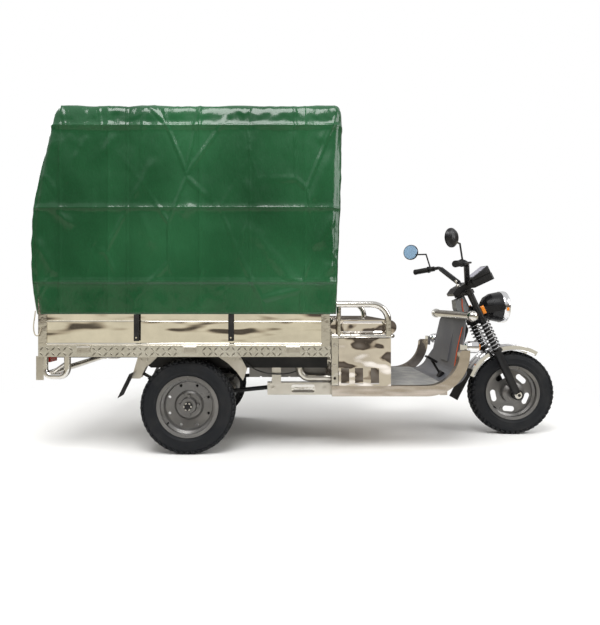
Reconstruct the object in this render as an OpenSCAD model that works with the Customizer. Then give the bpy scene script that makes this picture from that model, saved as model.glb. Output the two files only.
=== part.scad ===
// Electric cargo tricycle: stainless load bed with a canopy, driver's bench, raked front fork.
// +X forward, +Y left, +Z up. Origin on the ground under the middle of the bounding box.

/* [Overall] */
// Distance from the rear axle back to the bed's end
rear_overhang = 776; // [750:2:800]
// Distance between the front and rear axles
wheelbase = 1920; // [1880:5:1960]
// Distance between the rear wheels' middle planes
rear_track = 840; // [830:2:850]

/* [Wheels] */
// Outer diameter of the tyres
tyre_d = 510; // [500:2:516]
// Width of the tyres
tyre_w = 97; // [90:1:100]
// Outer diameter of the rim flanges
rim_d = 330; // [320:1:336]
// Diameter of the wheel hubs
hub_d = 96; // [90:1:104]
// Diameter of the rear stub axles
stub_d = 30; // [26:1:32]
// Diameter of the front axle
spindle_d = 18; // [14:1:20]

/* [Bed] */
// Length of the load bed
bed_l = 1530; // [1500:5:1550]
// Width of the load bed
bed_w = 1000; // [990:2:1006]
// Height of the load floor above the ground
floor_z = 583; // [575:1:590]
// Height of the chequered skirt
skirt_h = 57; // [50:1:64]
// Height of the drop boards
board_h = 297; // [280:1:310]
// Thickness of the drop boards
board_t = 25; // [20:1:28]
// Side of the square corner posts
post_w = 45; // [40:1:48]
// How far the rear curtain stands out behind the bed
curtain_bulge = 39; // [34:1:44]

/* [Canopy] */
// Height of the roof
roof_z = 1860; // [1820:1:1880]
// Height of the hem
hem_z = 750; // [740:1:760]
// Thickness of the tarpaulin solid
tarp_t = 6; // [4:0.5:8]
// Gap between the tarpaulin and the bed's side
tarp_gap = 9; // [8:0.5:12]
// Radius of the roof's shoulders
shoulder_r = 60; // [50:1:80]
// Diameter of the canopy tubes
hoop_d = 22; // [18:1:25]

/* [Chassis] */
// Distance between the main rails' middle planes
rail_gauge = 660; // [650:2:664]
// Width of the main rails
rail_w = 40; // [36:1:44]
// Height of the main rails
rail_h = 76; // [70:1:80]
// Height of the lower rails
low_rail_h = 68; // [60:1:72]
// Thickness of the floor plate
plate_t = 8; // [6:0.5:10]

/* [Cab] */
// Width over the footboard rails
cab_w = 840; // [830:2:850]
// Height of the footboard rails' top
step_z = 360; // [350:1:365]
// Height of the footboard rails
step_h = 56; // [50:1:60]
// Diameter of the armrest tubes
arm_d = 34; // [30:1:36]
// Height of the armrests
arm_z = 818; // [800:1:830]
// Height of the seat's top
seat_z = 715; // [700:1:725]

/* [Steering] */
// Rake of the steering axis in degrees
rake = 25; // [24:0.5:26]
// Distance between the fork legs' middle lines
fork_gauge = 200; // [196:1:206]
// Diameter of the fork tubes
fork_d = 38; // [34:1:40]
// Outer diameter of the fork springs
coil_d = 72; // [68:1:74]
// Wire diameter of the fork springs
coil_wire = 9; // [7:0.5:10]

/* [Hidden] */
$fn = 48;

clear = 0.3;                                  // between faces that are set close but don't bear
run_fit = 0.05;                               // between a shaft and its bore
tyre_r = tyre_d / 2;
overall_l = tyre_r + wheelbase + rear_overhang + curtain_bulge;
front_x = overall_l / 2 - tyre_r;             // front axle
rear_x = front_x - wheelbase;                 // rear axle
bed_x0 = rear_x - rear_overhang;              // rear end of the bed
bed_x1 = bed_x0 + bed_l;                      // front end of the bed
skirt_z = floor_z - skirt_h;
skirt_t = 3;
board_z = floor_z + board_h;                  // top of the boards
rail_y = rail_gauge / 2;
rail_z = skirt_z - rail_h;                    // underside of the main rails
wheel_y = rear_track / 2;
steel = [0.80, 0.79, 0.76];
black = [0.06, 0.06, 0.07];
dark = [0.16, 0.18, 0.21];

function unit(v) = v / norm(v);

// Round bar between two points
module rod(p, q, d) {
    v = q - p;
    translate(p)
        rotate([0, acos(v[2] / norm(v)), atan2(v[1], v[0])])
            cylinder(d = d, h = norm(v));
}

// Tube along points, with every corner bent to the radius r and the straight runs let into the bends
module bent_tube(points, d, r) {
    last = len(points) - 1;
    let_in = 0.5;
    bend_d = d + 0.2;
    function way(i) = unit(points[i + 1] - points[i]);
    function turn(i) = acos(way(i - 1) * way(i));
    function trim(i) = i == 0 || i == last ? 0 : r * tan(turn(i) / 2) - let_in;
    for (i = [0 : last - 1])
        rod(points[i] + way(i) * trim(i), points[i + 1] - way(i) * trim(i + 1), d);
    for (i = [1 : last - 1]) {
        u = way(i - 1);
        n = unit(way(i) - (way(i) * u) * u);
        k = cross(u, n);
        c = points[i] - u * (trim(i) + let_in) + n * r;
        multmatrix([[-n[0], u[0], k[0], c[0]], [-n[1], u[1], k[1], c[1]], [-n[2], u[2], k[2], c[2]]])
            rotate_extrude(angle = turn(i))
                translate([r, 0])
                    circle(d = bend_d);
    }
}

// Same shape on the right and on the left
module both_sides() {
    children();
    mirror([0, 1, 0]) children();
}

// Side view profile, x forward and y up, as wide as w about the plane y
module side_profile(y, w) {
    translate([0, y + w / 2, 0])
        rotate([90, 0, 0])
            linear_extrude(w)
                children();
}

// Front view profile, x to the left and y up, from x0 to x1
module front_profile(x0, x1) {
    translate([x0, 0, 0])
        rotate([90, 0, 90])
            linear_extrude(x1 - x0)
                children();
}

// Box between two corners
module block(a, b) {
    translate(a) cube(b - a);
}

// Chassis and load bed

low_rail_y = rail_y;
cab_x0 = bed_x1 + 19;                         // rear end of the footboard
low_rail_x = [rear_x + 423, cab_x0];
low_rail_z = 300;
cross_back = 20;                              // lower cross member ahead of the rails' ends
bearer_w = 40;
bumper_x = [bed_x0 + skirt_t + bearer_w / 2, bed_x0 + 143];   // uprights of the rear bumper hoops
bearer_x = [bed_x0 + skirt_t, bumper_x[1] - bearer_w / 2, rear_x - 260, rear_x + 120, rear_x + 380,
            bed_x1 - skirt_t - bearer_w];

module chassis_rails() {
    tail_h = 20;                              // the rails are shallower behind the springs
    kick_x = [eye(-1)[0] - 6, eye(-1)[0] + 60];
    color(black) both_sides() side_profile(rail_y, rail_w)
        polygon([[bed_x0 + skirt_t, skirt_z], [bed_x0 + skirt_t, skirt_z - tail_h], [kick_x[0], skirt_z - tail_h],
                 [kick_x[1], rail_z], [bed_x1, rail_z], [bed_x1, skirt_z]]);
    color(black) for (x = bearer_x)
        block([x, -bed_w / 2 + skirt_t, skirt_z], [x + bearer_w, bed_w / 2 - skirt_t, floor_z - plate_t]);
}

module lower_rails() {
    post_x = [low_rail_x[0] + 25, low_rail_x[0] + 75];
    drop_x = cab_x0 - 170;
    drop_d = 40;
    drop_z = 392;
    drop_r = rail_z - drop_z - 5;             // leaves a short straight end under the rail
    color(steel) both_sides() {
        block([low_rail_x[0], low_rail_y - 20, low_rail_z],
              [low_rail_x[1], low_rail_y + 20, low_rail_z + low_rail_h]);
        block([post_x[0], rail_y - rail_w / 2, low_rail_z + low_rail_h], [post_x[1], rail_y + rail_w / 2, rail_z]);
        bent_tube([[drop_x, rail_y, rail_z], [drop_x, rail_y, drop_z], [low_rail_x[1], rail_y, drop_z]],
                  drop_d, drop_r);
    }
    color(steel) block([low_rail_x[0] + cross_back, -low_rail_y + 20, low_rail_z + 10],
                       [low_rail_x[0] + 60, low_rail_y - 20, low_rail_z + 50]);
}

module bed_floor() {
    color(steel)
        block([bed_x0 + skirt_t, -bed_w / 2 + skirt_t, floor_z - plate_t],
              [bed_x1 - skirt_t, bed_w / 2 - skirt_t, floor_z]);
}

module bed_skirt() {
    color(steel) difference() {
        block([bed_x0, -bed_w / 2, skirt_z], [bed_x1, bed_w / 2, floor_z]);
        block([bed_x0 + skirt_t, -bed_w / 2 + skirt_t, skirt_z - 1],
              [bed_x1 - skirt_t, bed_w / 2 - skirt_t, floor_z + 1]);
    }
}

board_y = bed_w / 2 - 5;                      // outer face of the side boards
bead_z = 714;                                 // pressed line along the boards
bead_r = 5;
lip_r = 9;                                    // rolled lower edge
strap_x = [bed_x0 + 519, bed_x1 - 518];
strap_w = 27;
strap_t = 6;
strap_peg_z = 628;
peg_d = 8;
tarp_y = bed_w / 2 + tarp_gap;                // inner face of the tarpaulin's sides

// Section of a pressed board: x across the board, its outer face at x = 0, y up
module board_section() {
    difference() {
        union() {
            translate([-board_t, floor_z]) square([board_t, board_h]);
            translate([-lip_r + 4, floor_z + lip_r]) circle(lip_r);
        }
        translate([bead_r * 0.6, bead_z]) circle(bead_r);
    }
}

module side_board() {
    front_profile(bed_x0 + post_w, bed_x1 - post_w)
        translate([board_y, 0]) board_section();
    for (x = strap_x)
        rod([x, board_y - 3, strap_peg_z], [x, tarp_y + tarp_t + 4, strap_peg_z], peg_d);
}

module side_board_left() color(steel) side_board();
module side_board_right() color(steel) mirror([0, 1, 0]) side_board();

module front_board() {
    color(steel) translate([bed_x1, 0, 0])
        rotate([90, 0, 0])
            linear_extrude(bed_w - 2 * post_w, center = true)
                board_section();
}

module corner_posts() {
    color(steel) for (x = [bed_x0, bed_x1 - post_w]) both_sides()
        block([x, bed_w / 2 - post_w, floor_z], [x + post_w, bed_w / 2, board_z]);
}

hinge_d = 14;
hinge_l = 70;
hinge_at = [bed_x0 + 240, bed_x0 + 796, bed_x1 - 194];
gate_axis = [bed_x0 - 10, floor_z + 10];      // tailgate hinge line, x and z
gate_hinge_y = [-250, 250];
gate_pin_d = 8;

module board_hinges() {
    leaf_h = 34;
    leaf_t = 4;
    pin_d = 10;
    color([0.72, 0.71, 0.68]) {
        for (x = hinge_at) both_sides() {
            block([x - hinge_l / 2, bed_w / 2, floor_z - leaf_h], [x + hinge_l / 2, bed_w / 2 + leaf_t, floor_z]);
            rod([x - hinge_l / 2, bed_w / 2 + pin_d / 2, floor_z - pin_d / 2],
                [x + hinge_l / 2, bed_w / 2 + pin_d / 2, floor_z - pin_d / 2], pin_d);
        }
        for (y = gate_hinge_y) {
            rod([gate_axis[0], y - 60, gate_axis[1]], [gate_axis[0], y + 60, gate_axis[1]], gate_pin_d);
            for (s = [-1, 1]) hull() {
                rod([gate_axis[0], y + s * 60, gate_axis[1]], [gate_axis[0], y + s * 50, gate_axis[1]], hinge_d);
                translate([bed_x0 - 4, y + s * 55 - 5, floor_z - leaf_h]) cube([4, 10, leaf_h - 6]);
            }
        }
    }
}

module tailgate() {
    gate_w = bed_w - 2 * post_w - 30;
    gate_z0 = floor_z + 6;
    color(steel) difference() {
        union() {
            translate([bed_x0, 0, 0]) rotate([90, 0, 0])
                linear_extrude(gate_w, center = true) difference() {
                    translate([0, gate_z0]) square([board_t, board_z - gate_z0]);
                    translate([-bead_r * 0.6, bead_z]) circle(bead_r);
                }
            for (y = gate_hinge_y) {
                rod([gate_axis[0], y - 49, gate_axis[1]], [gate_axis[0], y + 49, gate_axis[1]], hinge_d);
                block([gate_axis[0], y - 49, gate_axis[1]], [bed_x0 + 2, y + 49, gate_axis[1] + hinge_d / 2]);
            }
        }
        for (y = gate_hinge_y)
            rod([gate_axis[0], y - 60, gate_axis[1]], [gate_axis[0], y + 60, gate_axis[1]],
                gate_pin_d + 2 * run_fit);
    }
}

// Canopy

hoop_y = bed_w / 2 - 18;
hoop_x = [bed_x0 + 156, bed_x0 + 596, bed_x1 - 474, bed_x1 - 24];
roof_x = [bed_x0 + 89, bed_x1 + 69];          // roof's rear and front edges
front_hem_x = bed_x1 + 24;                    // front curtain at the hem
gate_clear_z = board_z + 10;                  // rear curtain's hem over the tailgate

module canopy_frame() {
    hoop_z = roof_z - tarp_t - clear - hoop_d / 2;
    bend_r = 55;
    color([0.5, 0.5, 0.5]) {
        for (x = hoop_x)
            bent_tube([[x, -hoop_y, board_z], [x, -hoop_y, hoop_z], [x, hoop_y, hoop_z], [x, hoop_y, board_z]],
                      hoop_d, bend_r);
        for (y = [-300, 0, 300])
            rod([hoop_x[0], y, hoop_z], [hoop_x[3], y, hoop_z], hoop_d - 4);
        both_sides() rod([hoop_x[0], hoop_y, 1300], [hoop_x[3], hoop_y, 1300], hoop_d - 4);
    }
}

// Space inside the outline of the canopy, drawn in by an inset
module canopy_form(inset, z0) {
    half = tarp_y + tarp_t - inset;
    top = roof_z - inset;
    r = shoulder_r - inset;
    rise = top - z0;
    steps = 10;
    rear = [for (i = [0 : steps])
        let (f = i / steps)
        [roof_x[0] + inset - (roof_x[0] - bed_x0 + curtain_bulge) * sin(130 * f), top - rise * f]];
    intersection() {
        front_profile(-overall_l, overall_l) {
            translate([-half, z0]) square([2 * half, rise - r]);
            translate([-half + r, z0]) square([2 * (half - r), rise]);
            for (s = [-1, 1]) translate([s * (half - r), top - r]) circle(r);
        }
        side_profile(0, 2 * bed_w)
            polygon(concat(rear, [[front_hem_x - inset, z0], [roof_x[1] - inset, top - 60],
                                  [roof_x[1] - inset - 30, top]]));
    }
}

module tarpaulin() {
    mouth = bed_w / 2 - post_w - 5;
    color([0.10, 0.38, 0.24]) difference() {
        canopy_form(0, hem_z);
        canopy_form(tarp_t, hem_z - 1);
        block([-overall_l, -mouth, hem_z - 1], [bed_x0 + post_w, mouth, gate_clear_z]);
    }
}

module tie_straps() {
    color(black) both_sides() for (x = strap_x) difference() {
        block([x - strap_w / 2, tarp_y, strap_peg_z - 18], [x + strap_w / 2, tarp_y + strap_t, hem_z - clear]);
        rod([x, tarp_y - 1, strap_peg_z], [x, tarp_y + strap_t + 1, strap_peg_z], peg_d + 2 * clear);
    }
}

// Rear end and running gear

bumper_d = 34;
bumper_y = bed_w / 2 - 28;

module rear_bumper() {
    bottom_z = 422;
    bend_r = 40;
    cross_z = rail_z - bumper_d / 2 - 1;          // cross bar just under the main rails
    cross_x = bumper_x[0] + bend_r - sqrt(pow(bend_r, 2) - pow(bottom_z + bend_r - cross_z, 2));
    color(steel) {
        both_sides() {
            bent_tube([[bumper_x[0], bumper_y, skirt_z], [bumper_x[0], bumper_y, bottom_z],
                       [bumper_x[1], bumper_y, bottom_z], [bumper_x[1], bumper_y, skirt_z]], bumper_d, bend_r);
            rod([bumper_x[0] + 30, bumper_y, bottom_z + 12], [bumper_x[1], bumper_y, skirt_z - 30], bumper_d * 0.5);
        }
        rod([cross_x, -bumper_y, cross_z], [cross_x, bumper_y, cross_z], bumper_d);
    }
}

module tail_lamps() {
    lamp = [34, 34];                          // depth and height
    side = rail_y + rail_w / 2;
    room = bumper_y - bumper_d / 2 - side;
    color([0.65, 0.06, 0.05]) both_sides()
        block([bed_x0 + skirt_t + 4, side + 0.13 * room, skirt_z - lamp[1]],
              [bed_x0 + skirt_t + 4 + lamp[0], side + 0.93 * room, skirt_z]);
}

leaf_r = 514;                                 // top face of the main leaf
leaf_t = 8;
leaf_w = rail_w - 1;
leaf_top = 345;                               // main leaf's top over the axle
leaf_span = [33, 27, 21, 15, 9];              // half angles of the leaves, longest first
leaf_c = [rear_x, leaf_top + leaf_r];
eye_d = 36;
eye_pin_d = 16;
pack_z = leaf_top - len(leaf_span) * leaf_t;  // underside of the pack over the axle
axle_d = 64;
axle_z = tyre_r;
function eye(s) = leaf_c + (leaf_r + leaf_t / 2) * [s * sin(leaf_span[0]), -cos(leaf_span[0])];

// Part of a ring between two radii and two angles
module arc_band(r0, r1, a0, a1) {
    intersection() {
        difference() {
            circle(r1);
            circle(r0);
        }
        polygon(concat([[0, 0]], [for (i = [0 : 4])
            let (a = a0 + (a1 - a0) * i / 4) 2 * r1 * [cos(a), sin(a)]]));
    }
}

module leaf_springs() {
    clamp_x = 55;
    color(black) both_sides() difference() {
        union() {
            side_profile(rail_y, leaf_w) {
                for (i = [0 : len(leaf_span) - 1])
                    translate(leaf_c)
                        arc_band(leaf_r + i * leaf_t, leaf_r + (i + 1) * leaf_t,
                                 -90 - leaf_span[i], -90 + leaf_span[i]);
                for (s = [-1, 1]) translate(eye(s)) circle(d = eye_d);
            }
            block([rear_x - clamp_x, rail_y - leaf_w / 2 - 2, leaf_top],
                  [rear_x + clamp_x, rail_y + leaf_w / 2 + 2, leaf_top + 10]);
            block([rear_x - clamp_x, rail_y - leaf_w / 2 - 2, axle_z + axle_d / 2 - 6],
                  [rear_x + clamp_x, rail_y + leaf_w / 2 + 2, pack_z + 1]);
        }
        for (s = [-1, 1])
            rod([eye(s)[0], rail_y - rail_w, eye(s)[1]], [eye(s)[0], rail_y + rail_w, eye(s)[1]],
                eye_pin_d + 2 * run_fit);
        rod([rear_x, 0, axle_z], [rear_x, rail_y + rail_w, axle_z], axle_d + 2 * clear);
    }
}

module spring_hangers() {
    cheek_t = 6;
    rear = eye(-1);
    front = eye(1);
    color([0.70, 0.68, 0.63]) both_sides() {
        for (y = [rail_y - rail_w / 2 - cheek_t / 2, rail_y + rail_w / 2 + cheek_t / 2]) side_profile(y, cheek_t) {
            polygon([[rear[0] + 114, skirt_z], [rear[0] - 6, skirt_z], [rear[0] - 46, rear[1] - 34],
                     [rear[0] + 2, rear[1] - 34], [rear[0] + 34, rear[1] + 30], [rear[0] + 60, rail_z + 24]]);
            polygon([[front[0] - 150, skirt_z], [front[0] - 16, skirt_z], [front[0] + 28, rear[1] + 20],
                     [front[0] + 6, rear[1] - 46], [front[0] - 30, rear[1] + 4], [front[0] - 76, rail_z + 24]]);
        }
        for (s = [-1, 1])
            rod([eye(s)[0], rail_y - rail_w / 2 - cheek_t, eye(s)[1]],
                [eye(s)[0], rail_y + rail_w / 2 + cheek_t, eye(s)[1]], eye_pin_d);
    }
}

backing_y = wheel_y - tyre_w / 2 - 12;        // outer face of the brake backing plates
hub_y = [backing_y + 6, wheel_y + 18];        // rear hub's inner and outer faces
case_w = 120;
motor_x = rear_x + 150;
motor_d = 150;

module rear_axle() {
    case_d = 190;
    nut_d = 44;
    nut_l = 16;
    color(black) {
        rod([rear_x, -backing_y, axle_z], [rear_x, backing_y, axle_z], axle_d);
        side_profile(0, case_w) {
            translate([rear_x, axle_z]) circle(d = case_d);
            translate([rear_x, axle_z - 45]) square([motor_x - rear_x, 100]);
            translate([motor_x, axle_z + 5]) circle(d = motor_d - 16);
        }
        both_sides() {
            rod([rear_x, backing_y - 6, axle_z], [rear_x, backing_y, axle_z], 210);
            rod([rear_x, backing_y - 1, axle_z], [rear_x, hub_y[1] + nut_l + 10, axle_z], stub_d);
            rod([rear_x, hub_y[1] + 1, axle_z], [rear_x, hub_y[1] + 1 + nut_l, axle_z], nut_d);
        }
    }
}

module drive_motor() {
    color([0.20, 0.21, 0.22])
        rod([motor_x, case_w / 2, axle_z + 5], [motor_x, case_w / 2 + 190, axle_z + 5], motor_d);
}

module torque_rods() {
    y = rail_y - 50;
    rear = [rear_x + axle_d / 2 + clear + 15, y, axle_z + 37];
    front = [low_rail_x[0] + cross_back - clear - 1.2, y, low_rail_z + 32];
    color(black) both_sides() {
        rod(rear, front, 24);
        rod(rear - [0, 0, 18], rear + [0, 0, 18], 30);
    }
}

battery_x = [eye(1)[0] + 38, cab_x0 - 25];
battery_z = 392;

module battery_box() {
    half = rail_y - rail_w / 2 - clear;
    color([0.55, 0.54, 0.52]) difference() {
        block([battery_x[0], -half, battery_z], [battery_x[1], half, skirt_z - 2]);
        for (x = [battery_x[0] + 60 : 80 : battery_x[1] - 40])
            block([x, -bed_w, battery_z - 1], [x + 10, bed_w, battery_z + 5]);
    }
}

module rear_mudflaps() {
    flap_top = eye(-1) + [-40, -10];
    color(black) both_sides() side_profile(rail_y + 38, 100)
        polygon([flap_top + [0, 10], flap_top + [4, 10], flap_top + [-60, -120], flap_top + [-64, -120]]);
}

// Wheels

bead_r0 = rim_d / 2 - 13;                     // bead seat
bead_w = 40;                                  // half width at the beads

function round_pow(v, n) = sign(v) * pow(abs(v), n);

module tyre() {
    mid = (rim_d / 2 + 3 + tyre_r) / 2;
    half_h = tyre_r - mid;
    corner = 2 / 2.8;
    color(black) rotate([90, 0, 0]) rotate_extrude() polygon(concat(
        [for (a = [0 : 15 : 180]) [mid + half_h * round_pow(sin(a), corner), tyre_w / 2 * round_pow(cos(a), corner)]],
        [[rim_d / 2 + 3, -bead_w], [bead_r0, -bead_w], [bead_r0, bead_w], [rim_d / 2 + 3, bead_w]]));
}

// Rim barrel with a dropped centre, turned about the wheel's axis
module barrel() {
    lip = bead_w + clear;
    seat = bead_r0 - clear;
    rotate([90, 0, 0]) rotate_extrude() polygon([
        [rim_d / 2, -lip - 4], [rim_d / 2, -lip], [seat, -lip], [seat, -24], [seat - 13, -14], [seat - 13, 14],
        [seat, 24], [seat, lip], [rim_d / 2, lip], [rim_d / 2, lip + 4], [seat - 5, lip + 4], [seat - 5, 20],
        [seat - 18, 12], [seat - 18, -12], [seat - 5, -20], [seat - 5, -lip - 4]]);
}

// Rear wheel, outer side towards +Y
module rear_rim() {
    disc_y = -18;
    nut_circle = 50;
    hub = [hub_y[0] - wheel_y, hub_y[1] - wheel_y];
    color([0.30, 0.31, 0.33]) difference() {
        union() {
            barrel();
            rotate([-90, 0, 0]) rotate_extrude() polygon([
                [stub_d / 2 + run_fit, hub[0]], [100, hub[0]], [100, disc_y - 10], [130, disc_y + 2], [138, 8],
                [134, 12], [126, disc_y + 8], [80, disc_y + 2], [68, disc_y + 10], [46, disc_y + 10], [40, hub[1]],
                [stub_d / 2 + run_fit, hub[1]]]);
            for (a = [0 : 90 : 270]) rotate([0, a, 0])
                translate([nut_circle, disc_y + 8, 0]) rotate([-90, 0, 0]) cylinder(d = 20, h = 14, $fn = 6);
        }
        for (a = [22.5 : 45 : 360]) rotate([0, a, 0])
            translate([114, disc_y - 20, 0]) rotate([-90, 0, 0]) cylinder(d = 16, h = 60);
    }
}

module front_tyre() translate([front_x, 0, tyre_r]) tyre();
module rear_tyre_left() translate([rear_x, wheel_y, tyre_r]) tyre();
module rear_tyre_right() translate([rear_x, -wheel_y, tyre_r]) tyre();
module rear_rim_left() translate([rear_x, wheel_y, tyre_r]) rear_rim();
module rear_rim_right() translate([rear_x, -wheel_y, tyre_r]) rotate([0, 0, 180]) rear_rim();

front_hub_w = 140;

// Pressed front wheel with five oval windows
module front_rim() {
    window_r = 105;
    window = [40, 34];                        // straight length and width of a window
    drum_d = 132;
    color([0.22, 0.23, 0.24]) translate([front_x, 0, tyre_r]) difference() {
        union() {
            barrel();
            rotate([-90, 0, 0]) rotate_extrude() polygon([
                [0, -front_hub_w / 2], [drum_d / 2 - 20, -front_hub_w / 2], [drum_d / 2, -front_hub_w / 2 + 16],
                [drum_d / 2, -8], [90, -4], [bead_r0 - 16, -4], [bead_r0 - 16, 4], [90, 4], [drum_d / 2, 8],
                [drum_d / 2, front_hub_w / 2 - 16], [drum_d / 2 - 20, front_hub_w / 2], [0, front_hub_w / 2]]);
        }
        rotate([-90, 0, 0]) translate([0, 0, -bed_w]) cylinder(d = spindle_d + 2 * run_fit, h = 2 * bed_w);
        for (a = [5 : 72 : 365]) rotate([0, a, 0]) {
            for (s = [-1, 1]) translate([s * window[0] / 2, 0, -window_r])
                rotate([90, 0, 0]) cylinder(d = window[1], h = 60, center = true);
            translate([0, 0, -window_r]) cube([window[0], 60, window[1]], center = true);
        }
    }
}

// Driver's place

cab_y = cab_w / 2;
step_w = 40;
bend_x = front_x - 635;                       // where the rails start to curve up
bend_r = 235;
floor_top = step_z - 3;
shield_x = front_x - 505;                     // where the shield leaves the floor
shield_t = 8;
shield_r = 100;
shield_top = 711;
shield_c = [shield_x, floor_top + shield_r];
shield_arc = [for (a = [-90 : 10 : -10]) [cos(a), sin(a)]];
lean = [shield_c + shield_r * shield_arc[8], [front_x - 387, 553], [front_x - 360, shield_top]];

module floor_frame() {
    bend_z = step_z - step_h + bend_r;
    cross_x = [cab_x0, cab_x0 + 327, shield_x - 46];
    color(steel) both_sides() side_profile(cab_y - step_w / 2, step_w) {
        translate([cab_x0, step_z - step_h]) square([bend_x - cab_x0, step_h]);
        translate([bend_x, bend_z]) arc_band(bend_r - step_h, bend_r, -90, 0);
        polygon([[bend_x + bend_r - step_h, bend_z], [bend_x + bend_r, bend_z], [bend_x + bend_r, bend_z + 12],
                 [bend_x + bend_r - step_h + 12, bend_z + 12]]);
    }
    color(steel) {
        block([cab_x0, -cab_y + step_w, floor_top - shield_t], [shield_x - 6, cab_y - step_w, floor_top]);
        for (x = cross_x)
            block([x, -cab_y + step_w, step_z - step_h], [x + 40, cab_y - step_w, floor_top - shield_t]);
    }
}

seat_x = [cab_x0 - 5, cab_x0 + 357];
panel_x = [cab_x0 + 37, cab_x0 + 319];
panel_t = 18;
seat_rail_z = 628;
seat_rail_d = 22;
arm_y = cab_y - arm_d / 2;
panel_top = seat_rail_z - seat_rail_d / 2 - clear;
tie_x = cab_x0 + 17;                          // tie-down hole in the seat's rear plates
tie_z = 400;
tie_d = 16;
tie_t = 12;

module floor_mat() {
    mat = [[panel_x[1] + 6, shield_x - 16], cab_y - step_w - 6];
    rib = [10, 2, 30];
    color([0.35, 0.36, 0.37]) {
        block([mat[0][0], -mat[1], floor_top], [mat[0][1], mat[1], floor_top + 4]);
        for (y = [-mat[1] + rib[2] / 2 : rib[2] : mat[1] - rib[0]])
            block([mat[0][0] + 12, y, floor_top + 3], [mat[0][1] - 12, y + rib[0], floor_top + 4 + rib[1]]);
    }
}

module leg_shield() {
    half = cab_y - step_w;
    rib_w = 130;
    edge = [[half, 0], [half, 425], [272, 500], [252, 600], [234, shield_top - 18], [216, shield_top + 1]];
    color(dark) {
        intersection() {
            side_profile(0, 2 * half) polygon(concat(
                [[shield_x - 6, floor_top - shield_t], [shield_x - 6, floor_top]],
                [for (p = shield_arc) shield_c + shield_r * p], [lean[1], lean[2]],
                [lean[2] + [shield_t, 0], lean[1] + [shield_t, 0]],
                [for (i = [8 : -1 : 0]) shield_c + (shield_r + shield_t) * shield_arc[i]]));
            front_profile(0, overall_l)
                polygon([for (s = [1, -1], i = [0 : 5]) let (p = edge[s > 0 ? i : 5 - i]) [s * p[0], p[1]]]);
        }
        side_profile(0, rib_w)
            polygon([lean[0] + [1, 10], lean[1] + [1, 0], lean[2] + [1, -30], lean[2] + [-4, -34], lean[1] + [-6, 0],
                     lean[0] + [-5, 14]]);
    }
}

bar_d = 46;
bar_x = lean[2][0] + shield_t / 2;
bar_z = shield_top + clear + bar_d / 2;

module shield_bar() {
    ball_y = 330;
    color(steel) {
        rod([bar_x, -ball_y, bar_z], [bar_x, ball_y, bar_z], bar_d);
        both_sides() translate([bar_x, ball_y, bar_z]) sphere(d = 62);
    }
}

module side_lamps() {
    at = [bend_x + bend_r + 28, cab_y - step_w - 50, 562];
    color([0.75, 0.75, 0.76]) both_sides() {
        translate(at) rotate([0, 90, 0]) rotate_extrude()
            polygon([[0, -34], [14, -32], [24, -24], [30, -13], [33, 0], [33, 40], [29, 46], [0, 46]]);
        block([at[0] - 46, at[1] - 16, at[2] - 42], [at[0] - 30, cab_y - step_w, at[2] + 14]);
    }
}

// Steering axis: local x forward of the axis, local z up along it

head = [front_x - 300, 824.5];
function in_head(v, u) = [head[0] + v * cos(rake) - u * sin(rake), 0, head[1] + v * sin(rake) + u * cos(rake)];
function flat(p) = [p[0], p[2]];
module on_head() {
    translate([head[0], 0, head[1]]) rotate([0, -rake, 0]) children();
}
to_axle = [front_x - head[0], tyre_r - head[1]];
fork_v = to_axle[0] * cos(rake) + to_axle[1] * sin(rake);
axle_u = -to_axle[0] * sin(rake) + to_axle[1] * cos(rake);
fork_y = fork_gauge / 2;
stem_d = 30;
head_u = [-128, 18];                          // ends of the head tube
head_d = 52;
yoke_t = 25;
low_yoke_u = -160;
top_yoke_u = 26;
slider_u = -350;                              // top of the lower legs
slider_d = 48;

spine_d = 30;
spine_bend = 25;
spine_z = step_z - step_h + 22;
spine = [in_head(0, -75), in_head(-52, -75), in_head(-52, -180), [front_x - 378, 0, spine_z],
         [shield_x - 6, 0, spine_z]];

module head_frame() {
    color(black) difference() {
        union() {
            on_head() translate([0, 0, head_u[0]]) cylinder(d = head_d, h = head_u[1] - head_u[0]);
            bent_tube(spine, spine_d, spine_bend);
        }
        on_head() translate([0, 0, head_u[0] - 50]) cylinder(d = stem_d + 2 * run_fit, h = 400);
    }
}

module column_cover() {
    half = 38;
    color([0.45, 0.46, 0.48]) difference() {
        on_head() side_profile(0, 2 * half)
            polygon([[-65, -78], [-62, -30], [-46, head_u[1]], [6, head_u[1]], [6, -60], [-17, -96]]);
        on_head() translate([0, 0, -200]) cylinder(d = head_d + 2 * clear, h = 400);
        bent_tube(spine, spine_d + 2 * clear, spine_bend);
    }
}

module seat_frame() {
    post_x = [cab_x0 + 39, cab_x0 + 307];
    arm_mid = arm_z - arm_d / 2;
    color(steel) {
        both_sides() {
            bent_tube([[cab_x0 + 13, arm_y, arm_mid], [post_x[1], arm_y, arm_mid], [post_x[1], arm_y, seat_rail_z]],
                      arm_d, 90);
            rod([post_x[0], arm_y, seat_rail_z], [post_x[0], arm_y, arm_mid], 24);
            difference() {
                block([cab_x0, arm_y - tie_t / 2, step_z], [cab_x0 + 35, arm_y + tie_t / 2, seat_rail_z]);
                rod([tie_x, arm_y - tie_t, tie_z], [tie_x, arm_y + tie_t, tie_z], tie_d);
            }
        }
        bent_tube([[cab_x0, arm_y, seat_rail_z], [cab_x0 + 337, arm_y, seat_rail_z],
                   [cab_x0 + 337, -arm_y, seat_rail_z], [cab_x0, -arm_y, seat_rail_z]], seat_rail_d, 30);
    }
}

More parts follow.
